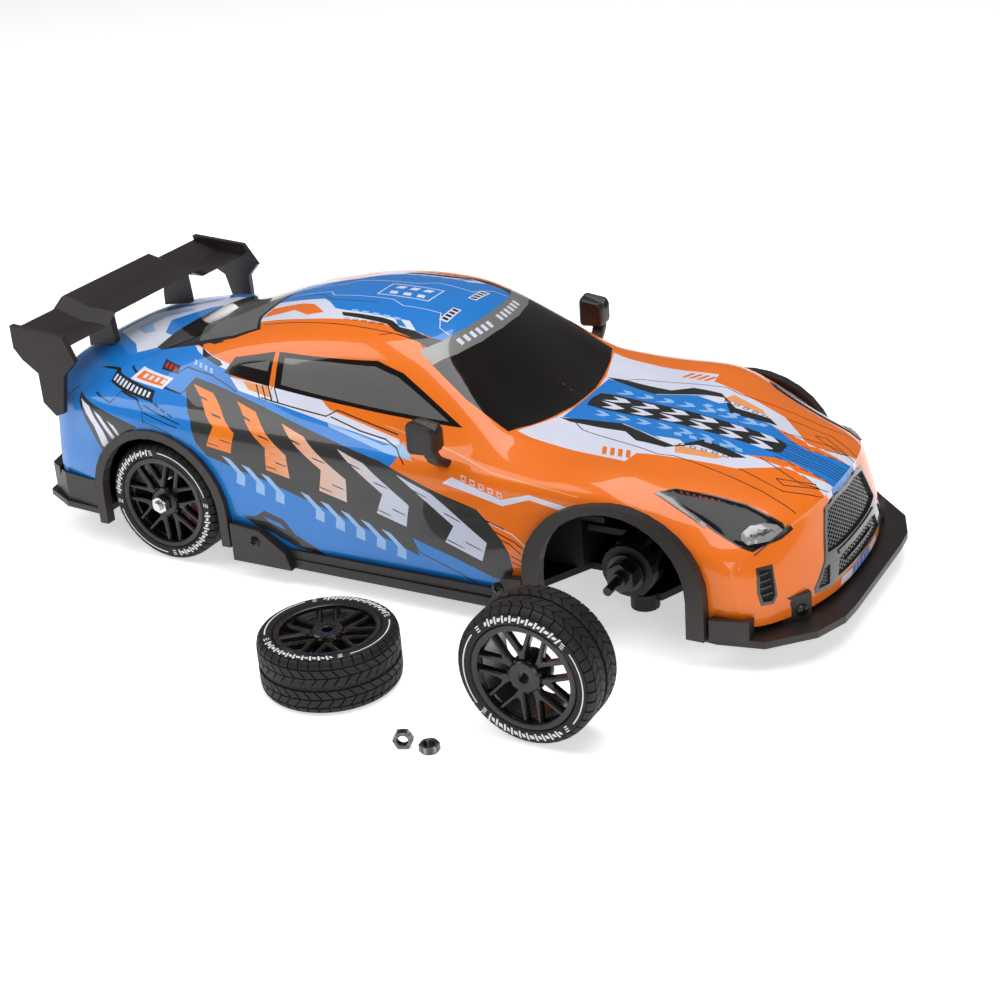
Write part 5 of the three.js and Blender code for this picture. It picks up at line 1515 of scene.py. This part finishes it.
# ---------------------------------------------------------------- nuts
def nut_mesh(material, height):
    """A chamfered hexagon nut round +Z with a threaded hole, resting on z = 0."""
    across = 5.5
    rings = []
    turns = 72

    def hexagon(angle):
        return across / 2 / math.cos((angle + math.pi / 6) % (math.pi / 3) - math.pi / 6)
    chamfer = 0.24
    for z, squeeze in ((0.0, chamfer * 1.6), (chamfer * 0.55, 0.0), (height - chamfer * 0.55, 0.0),
                       (height, chamfer * 1.6)):
        row = []
        for k in range(turns):
            a = 2 * math.pi * k / turns
            limit = across / math.sqrt(3) - squeeze * 1.0 if squeeze else 99
            radius = min(hexagon(a), limit)
            row.append((radius * math.cos(a), radius * math.sin(a), z))
        rings.append(row)
    pitch = 0.5
    rings.append([(1.95 * math.cos(2 * math.pi * k / turns), 1.95 * math.sin(2 * math.pi * k / turns), height)
                  for k in range(turns)])
    levels = int(height / pitch * 4)
    for level in range(levels + 1):
        z = height - 0.12 - (height - 0.24) * level / levels
        row = []
        for k in range(turns):
            phase = (z / pitch + k / turns) % 1
            radius = 1.6 + 0.17 * abs(2 * phase - 1)
            row.append((radius * math.cos(2 * math.pi * k / turns),
                        radius * math.sin(2 * math.pi * k / turns), z))
        rings.append(row)
    rings.append([(1.95 * math.cos(2 * math.pi * k / turns), 1.95 * math.sin(2 * math.pi * k / turns), 0.0)
                  for k in range(turns)])
    points = [q for row in rings for q in row]
    faces = []
    for r in range(len(rings)):
        following = (r + 1) % len(rings)
        for k in range(turns):
            faces.append((r * turns + k, r * turns + (k + 1) % turns, following * turns + (k + 1) % turns,
                          following * turns + k))
    mesh = bpy.data.meshes.new("nut_" + material)
    mesh.from_pydata([tuple(c / 1000 for c in q) for q in points], [], faces)
    mesh.materials.append(M[material])
    work = bmesh.new()
    work.from_mesh(mesh)
    bmesh.ops.recalc_face_normals(work, faces=work.faces)
    for face in work.faces:
        face.smooth = True
    work.to_mesh(mesh)
    work.free()
    mesh.set_sharp_from_angle(angle=math.radians(28))
    return mesh


NUT_MESH = nut_mesh("gunmetal", 2.4)
WHEEL_NUT_MESH = nut_mesh("steel", 2.4)


def put_nut(name, mesh, matrix, body, node):
    obj = bpy.data.objects.new(name, mesh)
    bpy.context.scene.collection.objects.link(obj)
    obj.matrix_world = matrix
    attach(obj, body)
    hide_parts(node)


def spin(axis, degrees):
    return Matrix.Rotation(math.radians(degrees), 4, axis)


put_nut("loose_nut_one_detail", NUT_MESH, at(53.9, -133.4, 2.75) @ spin("Z", 25) @ spin("X",
                                                                                        90) @ spin("Z", 30)
        @ Matrix.Translation((0, 0, -0.0012)), "loose_nut_one", "loose_nut_one")
put_nut("loose_nut_two_detail", NUT_MESH, at(61.8, -131.9, 0) @ spin("Z", 4), "loose_nut_two",
        "loose_nut_two")
NUT_SEAT = WHEEL_FACE - 0.3
for place, body, x, side in (("rear_right", "rear_wheels", -AXLE_X, -1),
                             ("rear_left", "rear_wheels", -AXLE_X, 1),
                             ("front_left", "front_wheel_left", AXLE_X, 1)):
    put_nut("wheel_nut_%s_detail" % place, WHEEL_NUT_MESH, at(x, side * NUT_SEAT, AXLE_Z) @ spin("X",
        -90 * side), body, "wheel_nut_" + place)

# ---------------------------------------------------------------- finishes of the carried-over nodes
SLOT_FINISH = {"paint": "orange", "trim": "trim", "nylon": "nylon", "rim": "rim", "tyre": "rubber",
               "steel": "steel",
               "gunmetal": "gunmetal", "wrap": "wrap", "board": "board", "plate": "plate"}
SLOT_OF = {part["node"]: part["material_slot"] for part in frame["record"]["subparts"]}
for node, obj in frame["nodes"].items():
    finish = M[SLOT_FINISH[SLOT_OF[node]]]
    if node in ("front_axle_right", "kingpin_right", "kingpin_left", "dogbone_right", "dogbone_left",
                "motor"):
        finish = M["black_steel"]
    obj.data.materials.clear()
    obj.data.materials.append(finish)
    if node.startswith("wing"):
        soften(obj, 0.7, 3, 20.0)
    elif SLOT_OF[node] in ("trim", "nylon"):
        soften(obj, 0.4, 3)
    elif SLOT_OF[node] in ("steel", "gunmetal", "plate", "wrap", "board"):
        soften(obj, 0.18, 2)

# ---------------------------------------------------------------- stage, light and camera
def stage_plane():
    size = 3.0
    mesh = bpy.data.meshes.new("floor")
    mesh.from_pydata([(-size, -size, 0), (size, -size, 0), (size, size, 0), (-size, size, 0)], [],
                     [(0, 1, 2, 3)])
    floor = bpy.data.objects.new("floor", mesh)
    bpy.context.scene.collection.objects.link(floor)
    mat, nodes, links, shader = new_material("pale_floor")
    coords = nodes.new("ShaderNodeTexCoord")
    tone = noise(nodes, links, coords, 3.0, 3.0)
    links.new(mix_colour(nodes, links, tone, (0.93, 0.93, 0.935), (0.96, 0.96, 0.96)),
              shader.inputs["Base Color"])
    shader.inputs["Roughness"].default_value = 0.55
    shader.inputs["Specular IOR Level"].default_value = 0.25
    shader.inputs["Emission Color"].default_value = (1, 1, 1, 1)
    shader.inputs["Emission Strength"].default_value = 0.56
    mesh.materials.append(mat)


stage_plane()


def area_light(name, place, target, size, power, colour=(1, 1, 1)):
    light = bpy.data.lights.new(name, "AREA")
    light.shape = "RECTANGLE"
    light.size, light.size_y = size
    light.energy = power
    light.color = colour
    obj = bpy.data.objects.new(name, light)
    bpy.context.scene.collection.objects.link(obj)
    obj.location = place
    obj.rotation_mode = "QUATERNION"
    obj.rotation_quaternion = (Vector(target) - Vector(place)).to_track_quat("-Z", "Y")
    return obj


area_light("key_left", (-0.75, -0.35, 0.95), (0, 0, 0.03), (0.7, 0.9), 6.0)
area_light("top_box", (0.15, 0.15, 1.1), (0, 0, 0.03), (1.0, 0.6), 8.0)
area_light("front_box", (0.9, -0.75, 0.5), (0.05, 0, 0.03), (0.5, 0.5), 3.0, (1.0, 0.97, 0.95))
world = bpy.data.worlds.new("studio")
bpy.context.scene.world = world
world.use_nodes = True
world.node_tree.nodes["Background"].inputs["Color"].default_value = (0.97, 0.98, 1.0, 1)
world.node_tree.nodes["Background"].inputs["Strength"].default_value = 0.16
bpy.context.scene.view_settings.view_transform = "Standard"

camera_data = bpy.data.cameras.new("camera")
camera_data.lens = 69.40
camera_data.sensor_width = 36.0
camera_data.clip_start = 0.01
camera_data.clip_end = 20.0
camera = bpy.data.objects.new("camera", camera_data)
bpy.context.scene.collection.objects.link(camera)
CAMERA_AZIMUTH, CAMERA_ELEVATION, CAMERA_ROLL = (math.radians(a) for a in (-30.0566, 25.0713, -4.2128))
look = Vector((math.cos(CAMERA_ELEVATION) * math.sin(CAMERA_AZIMUTH),
               math.cos(CAMERA_ELEVATION) * math.cos(CAMERA_AZIMUTH), -math.sin(CAMERA_ELEVATION)))
level_right = look.cross(Vector((0, 0, 1))).normalized()
level_up = level_right.cross(look)
right = math.cos(CAMERA_ROLL) * level_right + math.sin(CAMERA_ROLL) * level_up
up = -math.sin(CAMERA_ROLL) * level_right + math.cos(CAMERA_ROLL) * level_up
turn = Matrix((right, up, -look)).transposed().to_4x4()
camera.matrix_world = Matrix.Translation(Vector([float(c) for c in metres((322.766, -531.702,
                                                                           301.290))])) @ turn
bpy.context.scene.camera = camera
